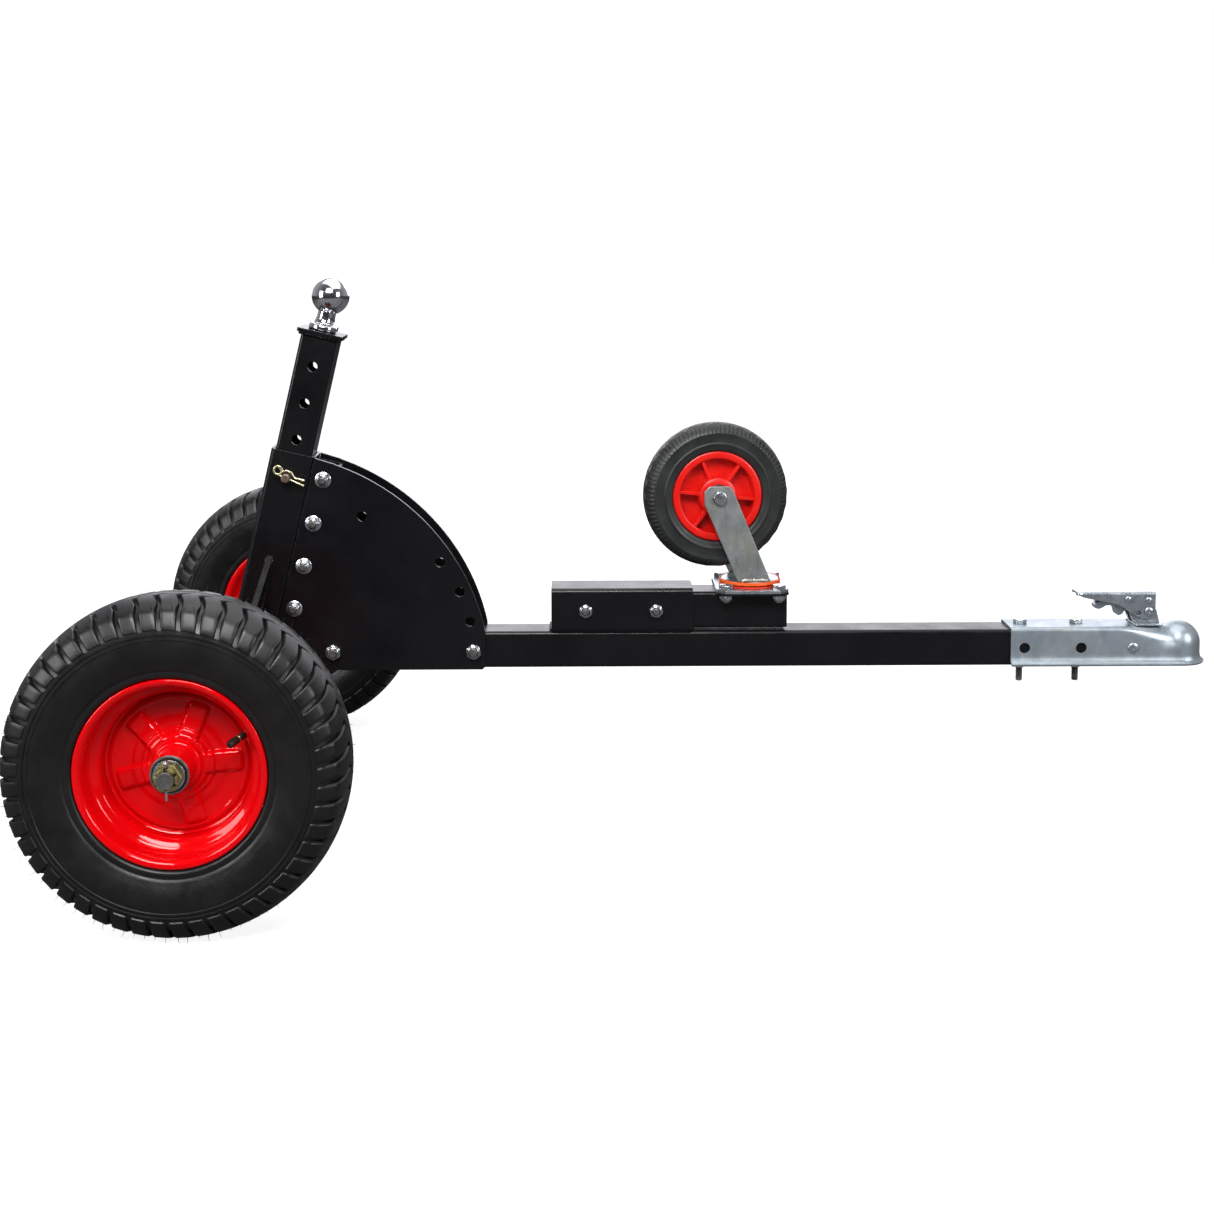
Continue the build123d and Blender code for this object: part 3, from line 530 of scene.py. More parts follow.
def tread_rows():
    """One half of the tyre, centre to bead: (top, groove floor, groove's lag in pitches, groove width)."""
    crown = [
        # y, radius, floor depth, lag, width
        (0, 198.0, 0, -0.2, 0.24), (1.2, 197.6, 0, -0.25, 0.24), (2.4, 198.0, 0, -0.3, 0.24),
        (5.5, 197.9, 0, -0.38, 0.24), (7, 197.8, 3.4, -0.36, 0.25), (9, 197.6, 4.8, -0.12, 0.26),
        (11, 197.4, 5.3, 0.0, 0.24), (14, 197.0, 5.5, -0.05, 0.22), (18, 196.3, 5.5, -0.12, 0.22),
        (23, 195.3, 5.5, -0.20, 0.22), (28, 194.0, 5.5, -0.27, 0.22), (33, 192.4, 5.6, -0.30, 0.23),
        (37, 190.9, 5.8, -0.31, 0.24), (40.5, 189.3, 6.4, -0.31, 0.25), (43, 187.6, 7.4, -0.31, 0.26),
    ]
    rows = [((r, y), (r - depth, y - depth * 0.18), lag, width) for y, r, depth, lag, width in crown]
    flank = [
        ((186.6, 44.6), (180.4, 42.2)), ((182.5, 47.2), (177.5, 45.6)), ((178, 49.6), (174, 48.2)),
        ((173.5, 51.8), (170.6, 50.4)), ((169, 53.6), (167.6, 52.3)), ((167.2, 54.0), (166.4, 52.9)),
    ]
    rows += [(top, floor, -0.33 - 0.03 * i, 0.26 + 0.012 * i) for i, (top, floor) in enumerate(flank)]
    wall = [
        (166.0, 53.1), (163.6, 53.6), (163.0, 54.6), (161.2, 54.9), (160.6, 54.1), (159.0, 54.2), (158.4, 55.3),
        (156.0, 55.7), (155.3, 54.9), (152, 55.2), (147, 55.6), (141, 55.2), (134, 53.7), (128, 51.6),
        (123, 49.4), (119.6, 48.2), (118.9, 47.2), (116.5, 47.0), (114.6, 47.3), (112.6, 46.9), (111, 45.6),
        (109.8, 43.6), (109.2, 40.5), (108.6, 34),
    ]
    rows += [(place, place, -0.5, 0.34) for place in wall]
    return rows


def tread_columns(width):
    """Where one pitch's columns stand, 0 on a block's top and 1 on the groove's floor."""
    wall = 0.05
    return [(0.0, 0.12), (wall, 1.0), (width / 2, 1.0), (width - wall, 1.0), (width, 0.12), (width + 0.035, 0.0),
            (width + (1 - width) * 0.3, 0.0), (width + (1 - width) * 0.55, 0.0),
            (width + (1 - width) * 0.78, 0.0), (0.965, 0.0)]


def tyre(seed):
    """The outer half is at +Y; the inner half's grooves run the other way and start a little later."""
    half = tread_rows()
    rows = [(row, 1) for row in reversed(half)] + [(row, -1) for row in half[1:]]
    pitch, inner_shift = 2 * math.pi / LUGS, 0.1
    verts = []
    for (top, floor, lag, width), sign in rows:
        for lug in range(LUGS):
            for u, deep in tread_columns(width):
                angle = (lug + u - width / 2 + (lag if sign > 0 else inner_shift - lag)) * pitch
                r = top[0] + (floor[0] - top[0]) * deep
                y = sign * (top[1] + (floor[1] - top[1]) * deep)
                verts.append((r * math.cos(angle), y, r * math.sin(angle)))
    build = Build((verts, bands(len(rows), len(verts) // len(rows))))
    # Moulding hairs stand on the shoulders.
    chance = random.Random(seed)
    shoulder_r, shoulder_y = 187.5, 43.4
    for sign in (-1, 1):
        for lug in range(LUGS):
            for spot in (0.38, 0.86):
                angle = (lug + spot - 0.43 * sign + chance.uniform(-0.05, 0.05)) * pitch
                lean = chance.uniform(-0.35, 0.35)
                long = chance.uniform(3.0, 9.0)
                points = []
                for t in (0, 0.5, 1):
                    r = min(shoulder_r + long * t, TYRE_R - 0.3)
                    bent = angle + lean * long * t * t / r
                    points.append((r * math.cos(bent), sign * (shoulder_y + long * t * 0.25), r * math.sin(bent)))
                build.add(pipe(points, lambda i: 0.42 - 0.13 * i, 4))
    return build


# ------------------------------------------------------------------ pressed rims

RIBS = (2, 70, 135, 197, 285)


def ease(low, high, value):
    t = max(0.0, min(1.0, (value - low) / (high - low)))
    return t * t * (3 - 2 * t)


def disc_height(r, angle):
    """Outer face of the rim's disc: a rim step, five pressed ribs and a stepped boss."""
    base = -5.5 - 3.2 * ease(78.5, 80.5, r) + 1.4 * ease(73, 76, r) * (1 - ease(76, 79, r))
    base += 2.4 * (1 - ease(47, 56, r)) + 3.0 * (1 - ease(38.5, 42.5, r)) + 5.2 * (1 - ease(30.5, 36.5, r))
    base += 6.2 * (1 - ease(24.5, 29.5, r)) + 4.5 * ease(80.5, 86.5, r)
    lift = 0.0
    for rib in RIBS:
        off = (angle - rib + 180) % 360 - 180
        across = abs(r * math.sin(math.radians(off))) if abs(off) < 90 else 99
        lift = max(lift, (1 - ease(7.5, 13.2, across)) * ease(27, 38, r) * (1 - ease(68, 75.5, r)))
    return base + lift * 5.0


def rim_disc():
    radii = [22.4, 23.4] + [24.5 + k for k in range(13)]
    radii += [*range(38, 44), *range(45, 58, 2), 60, 63, 66, *range(68, 87)]
    steps, verts = 288, []
    for r in radii:
        for j in range(steps):
            x, z = polar(r, 360 * j / steps)
            verts.append((x, disc_height(r, 360 * j / steps), z))
    return Build((verts, bands(len(radii), steps)))


BARREL = [(108.9, 43.2), (109.0, 44.6), (108.3, 45.6), (107.0, 46.0), (105.2, 45.8), (103.2, 45.0), (101.2, 43.6),
          (99.8, 41.6), (99.0, 39.0), (98.7, 35.0), (98.6, 28.0), (98.2, 23.5), (96.6, 20.4), (93.2, 18.0),
          (89.6, 16.2), (86.8, 13.8), (85.6, 10.8), (85.2, 6.0)]
BARREL += [(85.2, 0)] + [(r, -y) for r, y in reversed(BARREL)]
HUB_TUBE = [(14.8, -44.8), (21.6, -44.8), (22.3, -44.0), (22.3, 9), (24.2, 13.2), (22.9, 15.6), (22.3, 19),
            (22.3, 43.2), (14.8, 43.2), (14.8, -44.8)]
HUB_SEAL = [(17.4, 42.9), (19.8, 42.9), (19.8, 43.7), (19.0, 44.0), (17.4, 43.8), (17.4, 42.9)]
HUB_LIP = [(17.5, 40.0), (22.3, 43.2), (22.35, 44.4), (21.9, 44.95), (20.1, 44.95), (19.6, 44.3), (19.4, 42),
           (17.5, 40.0)]
VALVE_STEM = [(0.01, -7), (6.2, -7), (6.0, -1.5), (5.0, 0.5), (4.3, 2.5), (4.1, 7), (4.1, 13.6), (3.7, 14.2),
              (0.01, 14.2)]
VALVE_NECK = [(0.01, 14), (3.75, 14), (3.9, 14.6), (3.5, 15.2), (3.9, 15.8), (3.75, 16.6), (0.01, 16.6)]
VALVE_CAP = [(0.01, 16.4), (4.3, 16.4), (4.6, 17), (4.6, 20), (4.35, 20.6), (4.5, 21.4), (4.5, 28.6), (3.9, 29.7),
             (2.6, 30), (0.01, 30)]
RIM_SHEET = 2.4
VALVE = turn(-25, "Y") @ move(88, 8, 0) @ turn(-55, "Z") @ turn(-90, "Y")


def valve_cap():
    verts, faces = lathe(VALVE_CAP, 36)
    knurled = []
    for index, (x, y, height) in enumerate(verts):
        shrink = 0.93 if index // len(VALVE_CAP) % 2 and 20.9 < height < 29 else 1.0
        knurled.append((x * shrink, y * shrink, height))
    return Build((knurled, faces), VALVE)


def wheel_piece(name, build, material, slot, *replaces, **shaping):
    piece(f"{name}_{side}", build, material, f"wheel_{side}", slot, WHEEL,
          [f"{node}_{side}" for node in replaces], **shaping)


for side, sign in SIDES.items():
    WHEEL = at(wheel_left) if sign > 0 else at(wheel_right) @ MIRROR_Y
    wheel_piece("tyre_skin", tyre(7 + sign), RUBBER, "tyre_rubber", "tyre", smooth=38)
    wheel_piece("rim_roll", turned(BARREL, 160, TO_LEFT, caps=False), RED, "wheel_red", "rim_barrel",
                sheet=RIM_SHEET, smooth=50)
    wheel_piece("rim_dish", rim_disc(), RED, "wheel_red", "rim_disc", sheet=RIM_SHEET, smooth=60)
    wheel_piece("valve_stem", turned(VALVE_STEM, 28, VALVE), TUBE_RUBBER, "tube_rubber", "valve", "inner_tube")
    wheel_piece("hub_sleeve", turned(HUB_TUBE, 72, TO_LEFT, caps=False), RED, "wheel_red", "hub", smooth=40)
    wheel_piece("hub_seal", turned(HUB_SEAL, 64, TO_LEFT, caps=False), TUBE_RUBBER, "tube_rubber")
    wheel_piece("hub_lip", turned(HUB_LIP, 72, TO_LEFT, caps=False), AXLE_STEEL, "hub_steel")
    wheel_piece("valve_brass", turned(VALVE_NECK, 28, VALVE), YELLOW, "yellow_zinc")
    wheel_piece("valve_cap", valve_cap(), TUBE_RUBBER, "tube_rubber")

# ------------------------------------------------------------------ fasteners


def threads(radius, low, high):
    """A helical thread with flat ends."""
    pitch, around = 1.5, 20
    root = radius - 0.58 * pitch
    rows = int((high - low) / pitch * 2) + 5
    verts, faces = [], []
    for i in range(rows):
        for j in range(around):
            z = low - pitch + (i + 2 * j / around) * pitch / 2
            r = radius if i % 2 and low + 0.4 < z < high - 0.4 else root
            angle = 2 * math.pi * j / around
            verts.append((r * math.cos(angle), r * math.sin(angle), max(low, min(high, z))))
    for i in range(rows - 2):
        a, b = i * around, (i + 1) * around
        faces += [(a + j, a + j + 1, b + j + 1, b + j) for j in range(around - 1)]
        if i + 3 < rows:
            faces.append((a + around - 1, (i + 2) * around, (i + 3) * around, b + around - 1))
    tip = lathe([(0.01, high + 0.01), (root - 0.5, high + 0.01), (root, high - 0.4)], around)
    return Build((verts, faces)).add(tip).shape()


def hexagon(across_flats, low, high):
    """A hexagon along Z with its corners turned down at the top, as on a bolt head or nut."""
    half, segments, verts = across_flats / 2, 48, []
    corner = half / math.cos(math.pi / 6)
    rings = [(low, 0.0), (high - 2.0, 0.0), (high - 1.3, 0.0), (high - 0.7, 0.0), (high - 0.3, 0.0), (high, 0.35)]
    for z, inset in rings:
        for j in range(segments):
            angle = 2 * math.pi * j / segments
            flat = half / math.cos((angle + math.pi / 6) % (math.pi / 3) - math.pi / 6)
            chamfer = half * 0.965 + (high - z) / math.tan(math.radians(30)) * 0.75
            r = min(min(flat, max(chamfer, half * 0.9)) - inset, corner)
            verts.append((r * math.cos(angle), r * math.sin(angle), z))
    top = (len(rings) - 1) * segments
    ends = [list(range(segments))[::-1], list(range(top, top + segments))]
    return verts, bands(len(rings), segments) + ends


def bolt_head(across_flats, height):
    """A bolt head standing on z=0, with a washer face and a shallow dished top."""
    face, rim = across_flats * 0.48, across_flats * 0.33
    shape = Build(hexagon(across_flats, 0, height))
    shape.add(lathe([(0.01, -0.01), (face, -0.01), (face, 0.5), (0.01, 0.5)], 36))
    shape.add(lathe([(rim, height - 0.02), (rim - 0.6, height + 0.12), (rim - 1.4, height - 0.02)], 30, caps=False))
    return shape.shape()


def lock_nut(across_flats, height, bore, flange_r=0.0):
    """A nylon-insert nut seated on z=0 and standing to its height."""
    shape = Build()
    if flange_r:
        shape.add(lathe([(bore, 0), (flange_r, 0), (flange_r + 0.05, 0.7), (across_flats * 0.56, 2.3), (bore, 2.3)],
                        40, caps=False))
    collar, ring = height * 0.68, across_flats * 0.44
    shape.add(hexagon(across_flats, 1.6 if flange_r else 0.0, collar))
    shape.add(lathe([(bore - 0.2, collar - 1), (ring, collar - 1), (ring, height - 1.1), (ring - 0.5, height - 0.4),
                     (ring - 1.5, height), (bore + 0.7, height), (bore + 0.2, height - 0.5), (bore - 0.2, height - 1)],
                    36, caps=False))
    return shape.shape()


def bolt_places(node, upright=False):
    """(middle, low, high) of each bolt or nut; solids that share an axis count as one."""
    found = {}
    for low, high in solids(node):
        middle = (low + high) / 2
        key = (round(middle.x / 4), round((middle.y if upright else middle.z) / 4))
        if key in found:
            old_low, old_high = found[key]
            low = Vector(min(a, b) for a, b in zip(low, old_low))
            high = Vector(max(a, b) for a, b in zip(high, old_high))
        found[key] = (low, high)
    return [((low + high) / 2, low, high) for low, high in found.values()]


def fastener_pieces(prefix, body, heads, nuts, studs, head_nodes, nut_nodes=()):
    piece(prefix + "_heads", heads, FASTENER, body, "fastener_zinc", replaces=head_nodes)
    piece(prefix + "_locknuts", nuts, FASTENER, body, "fastener_zinc", replaces=nut_nodes)
    piece(prefix + "_studs", studs, AXLE_STEEL, body, "fastener_zinc")


SHANK_SLACK = 0.15      # how much thinner a bolt's shank is than its thread
HEAD_SHARE = 1.3        # a head's height, as a share of its thread's radius


def cross_bolts(prefix, bolts, nuts, body, bolt_flats, nut_flats, bore, flange_r=0.0):
    """Heads on the left and locking nuts with thread through them on the right."""
    heads, ends, studs = Build(), Build(), Build()
    pairs = zip(bolt_places(bolts), bolt_places(nuts))
    for number, ((middle, low, high), (_, nut_low, nut_high)) in enumerate(pairs):
        spot, twist = move(middle.x, 0, middle.z), turn(17 * number, "Z")
        head_seat, seat = high.y - bore * HEAD_SHARE, nut_high.y
        heads.add(bolt_head(bolt_flats, high.y - head_seat), spot @ move(0, head_seat, 0) @ TO_LEFT @ twist)
        heads.add(lathe([(bore - SHANK_SLACK, nut_low.y), (bore - SHANK_SLACK, head_seat)], 24), spot @ TO_LEFT)
        facing = spot @ move(0, seat, 0) @ TO_RIGHT @ twist
        ends.add(lock_nut(nut_flats, seat - nut_low.y, bore, flange_r), facing)
        studs.add(threads(bore, seat - nut_low.y - 2, seat - low.y), facing)
    fastener_pieces(prefix, body, heads, ends, studs, [bolts], [nuts])


cross_bolts("plate", "plate_bolts", "plate_nuts", "chassis", 17, 15, 5.0, 11.0)
cross_bolts("pivot", "pivot_bolt", "pivot_nut", "chassis", 19, 19, 6.35)
cross_bolts("receiver", "receiver_bolts", "receiver_nuts", "tow_bar", 17, 17, 5.0)

# The lock bolt's nut is part of its CAD node, and is as tall as the pivot's.
LOCK_FLATS, LOCK_R = 19, 6.35
lock_low, lock_high = corners("lock_bolt")
lock_middle = (lock_low + lock_high) / 2
pivot_nut_low, pivot_nut_high = corners("pivot_nut")
lock_nut_height = pivot_nut_high.y - pivot_nut_low.y
lock_seat = pivot_nut_high.y - 0.3
head_seat = lock_high.y - LOCK_R * HEAD_SHARE
spot = move(lock_middle.x, 0, lock_middle.z)
facing = spot @ move(0, lock_seat, 0) @ TO_RIGHT @ turn(8, "Z")
lock = Build()
lock.add(bolt_head(LOCK_FLATS, lock_high.y - head_seat), spot @ move(0, head_seat, 0) @ TO_LEFT @ turn(11, "Z"))
lock.add(lathe([(6.25, lock_seat), (6.25, head_seat)], 28), spot @ TO_LEFT)
lock.add(lock_nut(LOCK_FLATS, lock_nut_height, LOCK_R), facing)
lock_stud = threads(LOCK_R, lock_nut_height - 2, lock_seat - lock_low.y)
piece("lock_bolt_stud", Build(lock_stud, facing), AXLE_STEEL, "tow_bar", "fastener_zinc")
piece("lock_bolt_and_nut", lock, FASTENER, "tow_bar", "fastener_zinc", replaces=["lock_bolt"])


def upright_bolts(prefix, nodes, bolt_flats, head, nut_flats, nut_height, nut_seat, bore, flange_r=0.0):
    """Heads on top of the tow bar's parts and nuts below, with the thread showing under the nut."""
    heads, ends, studs = Build(), Build(), Build()
    for number, (middle, low, high) in enumerate(bolt_places(nodes[0], upright=True)):
        spot, twist = move(middle.x, middle.y, 0), turn(13 + 23 * number, "Z")
        shank = [(bore - SHANK_SLACK, nut_seat - nut_height), (bore - SHANK_SLACK, high.z - head)]
        heads.add(bolt_head(bolt_flats, head), spot @ move(0, 0, high.z - head) @ twist)
        heads.add(lathe(shank, 24), spot)
        facing = spot @ move(0, 0, nut_seat) @ UPSIDE_DOWN @ twist
        ends.add(lock_nut(nut_flats, nut_height, bore, flange_r), facing)
        studs.add(threads(bore, nut_height - 2, nut_seat - low.z), facing)
    fastener_pieces(prefix, "tow_bar", heads, ends, studs, nodes)


bar_low, bar_high = corners("tow_bar_tube")
upright_bolts("caster_seat", ["caster_bolts", "caster_nuts"], 17, 6.5, 17, 9.0, corners("caster_nuts")[1].z, 5.0, 9.5)
upright_bolts("coupler_seat", ["coupler_bolts"], 16, 6.0, 15, 8.5, bar_low.z, 4.75)

# ------------------------------------------------------------------ hitch ball and weld beads

BALL_R = mounts["hitch_ball"]["dims"]["r_mm"]
NECK_R, BALL_RISE, TOP_FLAT = 12.3, 48.4, 74.5      # the flat on top starts this many degrees up the ball
CAP_TOP = local(ROOT, mounts["hitch_ball"]["pos_m"]).length - BALL_RISE

ball_profile = [(0.01, 0.02), (19.4, 0.02), (20.6, 0.9), (21.0, 2.2), (21.0, 6.6), (20.2, 8.2), (18.6, 9.0),
                (16.4, 9.3), (14.8, 10.6), (13.4, 13.5), (12.6, 17.5), (NECK_R, 21.0)]
start_angle = -math.degrees(math.acos(NECK_R / BALL_R))
for k in range(33):
    r, z = polar(BALL_R, start_angle + (TOP_FLAT - start_angle) * k / 32)
    ball_profile.append((r, BALL_RISE + z))
top_z = ball_profile[-1][1] + 0.35
ball = turned(ball_profile + [(5.6, top_z), (0.01, top_z)], 96)
ball.add(lathe([(9.525, -34), (9.525, 0)], 32))
wrench_flats = [prism([(x, -60), (x + 30, -60), (x + 30, 60), (x, 60)], -1, 9.05, "XY") for x in (18.6, -48.6)]
piece("tow_ball", ball, CHROME, "mast_slide", "ball_chrome", MAST @ move(0, 0, CAP_TOP), ["hitch_ball"],
      cutters=wrench_flats, smooth=40)


def weld(points, width, build, seed=3):
    """A rippled fillet bead laid along points, one ripple every third of its width."""
    chance = random.Random(seed)
    points = [Vector(p) for p in points]
    path, step = [], width / 3.2
    for a, b in zip(points, points[1:]):
        runs = max(2, int((b - a).length / step))
        path += [a.lerp(b, k / runs) for k in range(runs)]
    path.append(points[-1])
    path = [p + Vector(chance.uniform(-1, 1) for _ in range(3)) * width * 0.05 for p in path]
    sizes = [width * (0.5 if i % 2 else 0.41) * chance.uniform(0.93, 1.07) for i in range(len(path))]
    sizes[0] = sizes[-1] = width * 0.3
    return build.add(pipe(path, lambda i: sizes[i], 9))


def square_path(half, z):
    outline = rounded([(-half, -half), (half, -half), (half, half), (-half, half)], 4, 4)
    return [(x, y, z) for x, y in outline + outline[:1]]


piece("cap_weld", weld(square_path(26.3, CAP_TOP - 6.2), 5.6, Build()), BLACK, "mast_slide", "frame_black", MAST)

OUTER_FACE, HALF_AXLE = 30.6, 25.4      # where beads lie on the outer tube, and half of an axle tube
mast_welds = Build()
for sign in (-1, 1):
    face = sign * OUTER_FACE
    weld([(30.5, sign * 26.3, 80), (30.5, sign * 26.3, 304)], 5.2, mast_welds, seed=5 + sign)
    weld([(x, face, y) for x, y, _ in square_path(HALF_AXLE, 0)], 5.4, mast_welds, seed=9 + sign)
    for x in (-4.3, 4.3):
        weld([(x, face, 30), (x, face, 166)], 4.2, mast_welds, seed=12 + sign)
        weld([(x, sign * 34, HALF_AXLE), (x, sign * 142, HALF_AXLE)], 4.2, mast_welds, seed=14 + sign)
piece("mast_welds", mast_welds, BLACK, "chassis", "frame_black", MAST)

bar_top = bar_high.z
receiver_low, receiver_high = corners("receiver_tube")
bar_welds = Build()
for sign in (-1, 1):
    ends = [(x, sign * 24.6, bar_top + 0.6) for x in (receiver_low.x + 3, receiver_high.x - 3)]
    weld(ends, 5.6, bar_welds, seed=21 + sign)
for x in (receiver_low.x - 0.4, receiver_high.x + 0.4):
    weld([(x, -22, bar_top + 0.8), (x, 22, bar_top + 0.8)], 5.4, bar_welds, seed=int(x))
piece("receiver_welds", bar_welds, BLACK, "tow_bar", "frame_black")

# ------------------------------------------------------------------ swivel caster

SPOKES = 6


def caster_tyre():
    """Solid tyre with fine cross sipes on its shoulders and two zigzag grooves round the crown."""
    side_rows = [
        (62, 19.6), (62.6, 21.6), (64, 22.6), (66.5, 23.2), (69, 23.5), (70.4, 24.4), (72, 24.7), (73.4, 24.2),
        (74.2, 23.3), (77, 23.2), (80, 23.3), (83, 23.5), (85, 23.8), (86.4, 24.0),
    ]
    # A third value above 0 is how deep the sipes are cut; below 0 it is a groove right round.
    crown = [(88.2, 23.2, 0.4), (90.5, 21.9, 1.0), (93.0, 19.8, 1.1), (95.2, 17.2, 0.9), (96.6, 14.8, 0.5),
             (97.5, 12.6, 0.0), (98.0, 11.2, 0.0), (98.2, 10.2, 0.0), (98.3, 9.4, -1.0), (98.35, 8.0, -1.0),
             (98.7, 7.2, 0.0), (99.0, 5.6, 0.0), (99.3, 3.0, 0.3), (99.4, 1.2, 0.3), (99.4, 0.0, 0.3)]
    half = [(r, y, 0.0) for r, y in side_rows] + crown
    rows = half + [(r, -y, k) for r, y, k in reversed(half[:-1])]
    sipes, fine = 96, 6
    count, verts = sipes * fine, []
    for r, y, kind in rows:
        sign = 1 if y >= 0 else -1
        for j in range(count):
            angle = 2 * math.pi * j / count
            radius, shift = r, 0.0
            if kind > 0 and j / fine % 1 < 0.3:
                radius -= kind
            elif kind < 0:
                radius += kind * 1.3
            if 6.5 < abs(y) < 13:
                shift = 1.1 * math.sin(2 * math.pi * j / count * sipes / 3) * sign
            angle += 0.010 * y / 24 * sign
            verts.append((radius * math.cos(angle), y + shift, radius * math.sin(angle)))
    return Build((verts, bands(len(rows), count)))


piece("caster_tyre_skin", caster_tyre(), CASTER_RUBBER, "caster_wheel", "caster_rubber", CASTER_WHEEL,
      ["caster_tyre"], smooth=32)

seat = [(51.4, -19.0), (52.2, -19.9), (53.6, -20.2), (58.2, -20.0), (60.6, -19.6), (61.6, -18.6), (61.9, -16)]
boss = [(8.2, -18), (15.6, -18.4), (16.2, -25.0), (17.0, -25.8), (24.2, -25.8), (25.2, -25.0), (25.6, -22), (26.0, -2)]
web = [(25, -1.8), (51, -1.8), (51, 1.8), (25, 1.8), (25, -1.8)]
caster_rim = turned(mirrored(seat) + [(50.9, 17), (50.4, 2.1), (50.4, -2.1), (50.9, -17), seat[0]], 120, TO_LEFT,
                    caps=False)
caster_rim.add(lathe(mirrored(boss) + boss[:1], 72, caps=False), TO_LEFT)
caster_rim.add(lathe(web, 96, caps=False), TO_LEFT)
piece("caster_rim_moulding", caster_rim, CASTER_RED, "caster_wheel", "caster_red", CASTER_WHEEL, ["caster_rim"],
      smooth=40)
spokes = Build()
for k in range(SPOKES):
    for low, high in ((-17.6, -1.5), (1.5, 17.6)):
        spokes.add(prism([(24.5, -2.6), (52.0, -2.0), (52.0, 2.0), (24.5, 2.6)], low, high),
                   turn(6.5 - 360 / SPOKES * k, "Y"))
piece("caster_rim_spokes", spokes, CASTER_RED, "caster_wheel", "caster_red", CASTER_WHEEL, bevel=0.7)

axle_x, _, axle_z = local(SWIVEL, joints["caster_spin"]["pos_m"])
LEG_IN, LEG_OUT = 31.0, 35.5
leg_outline = rounded([
    (axle_x + 26, 9.2, 0), (axle_x - 20.7, axle_z - 8.5, 9), (axle_x - 20.7, axle_z + 8, 3),
    (axle_x - 14, axle_z + 15.4, 3), (axle_x + 13.5, axle_z + 15.4, 2), (axle_x + 18.4, axle_z + 10, 2),
    (axle_x + 71, 9.2, 0)], 3, 5)
fork = Build(prism(leg_outline, -LEG_OUT, -LEG_IN)).add(prism(leg_outline, LEG_IN, LEG_OUT))
piece("fork_legs", fork, FORK_ZINC, "caster_swivel", "caster_zinc", SWIVEL, ["caster_fork"], bevel=1.0)
crown = [(6.2, 8.6), (6.2, 11.2), (16.0, 11.3), (24.0, 11.0), (31.0, 10.6), (35.6, 9.6), (38.6, 8.4), (40.0, 7.2),
         (40.2, 6.2), (40.0, 5.2), (6.2, 5.2), (6.2, 8.6)]
piece("fork_crown", turned(crown, 96, caps=False), LEVER_ZINC, "caster_swivel", "caster_zinc", SWIVEL, smooth=40)
kingpin = [(0.01, -7.0), (5.9, -7.0), (5.9, 11.3), (9.8, 11.3), (10.0, 12.2), (9.2, 14.0), (7.4, 15.2), (5.6, 15.0),
           (4.6, 14.4), (0.01, 14.4)]
piece("kingpin_riveted", turned(kingpin, 40), LEVER_ZINC, "tow_bar", "caster_zinc", SWIVEL, ["kingpin"])
fork_weld = Build()
foot_low, foot_high = axle_x + 28, axle_x + 70
for sign in (-1, 1):
    weld([(foot_low + 2, sign * 35.0, 10.6), (foot_high - 2, sign * 35.0, 10.4)], 6.4, fork_weld, seed=31 + sign)
    weld([(foot_low - 0.5, sign * 32, 10.8), (foot_high, sign * 32, 10.6)], 4.6, fork_weld, seed=41 + sign)
piece("fork_welds", fork_weld, WELD, "caster_swivel", "caster_zinc", SWIVEL)
upper = [(40.5, 4.2), (41.8, 4.15), (42.2, 4.6), (42.15, 6.4), (41.9, 8.0), (41.2, 8.5), (40.5, 8.3), (40.35, 6.2),
         (40.5, 4.2)]
piece("seal_upper", turned(upper, 112, caps=False), ORANGE, "caster_swivel", "seal_orange", SWIVEL,
      ["dust_ring_upper"])
lower = [(34, 0.02), (41.7, 0.02), (42.15, 0.5), (42.1, 1.9), (41.6, 2.35), (34.2, 2.35), (34, 0.02)]
piece("seal_lower", turned(lower, 112, caps=False), SEAL_RED, "tow_bar", "seal_orange", SWIVEL, ["dust_ring_lower"])

axle_bolt = Build(bolt_head(17, 6.5), move(0, -LEG_OUT, 0) @ TO_RIGHT @ turn(30, "Z"))
axle_bolt.add(lathe([(4.85, -LEG_OUT), (4.85, LEG_OUT)], 24), TO_LEFT)
axle_bolt.add(lathe([(9.4, -LEG_OUT - 0.9), (9.6, -LEG_OUT - 0.3), (9.4, -LEG_OUT), (0.1, -LEG_OUT)], 32), TO_LEFT)
piece("caster_axle_head", axle_bolt, FASTENER, "caster_swivel", "fastener_zinc", CASTER_WHEEL, ["caster_axle_bolt"])
axle_nut = Build()
for shape in (lock_nut(17, 8.0, 5.0), threads(5.0, 6.0, 10.0)):
    axle_nut.add(shape, move(0, LEG_OUT, 0) @ TO_LEFT @ turn(12, "Z"))
piece("caster_axle_locknut", axle_nut, FASTENER, "caster_swivel", "fastener_zinc", CASTER_WHEEL, ["caster_axle_nut"])

# ------------------------------------------------------------------ ball coupler

SOCKET = local(ROOT, mounts["ball_socket"]["pos_m"])
socket_x, socket_z = SOCKET.x, SOCKET.z
COUPLER_SHEET, DOME_WALL, LIP = 2.9, 3.0, 7.0       # LIP is how wide FLANGE is drawn before it meets the nose
DOME_R = mounts["ball_socket"]["dims"]["r_mm"] + DOME_WALL
coupler_low, coupler_high = corners("coupler_body")
rear_x, nose_r = coupler_low.x, coupler_high.x - socket_x
HALF, TOP = 28.5, 61.0
ANGLES = (90, 82, 74, 67, 61, 57, 54, 51.5, 49.5, 47.5, 45.5, 43.5, 41.5, 39.5, 37, 34, 30, 25, 19, 13, 6, 0)


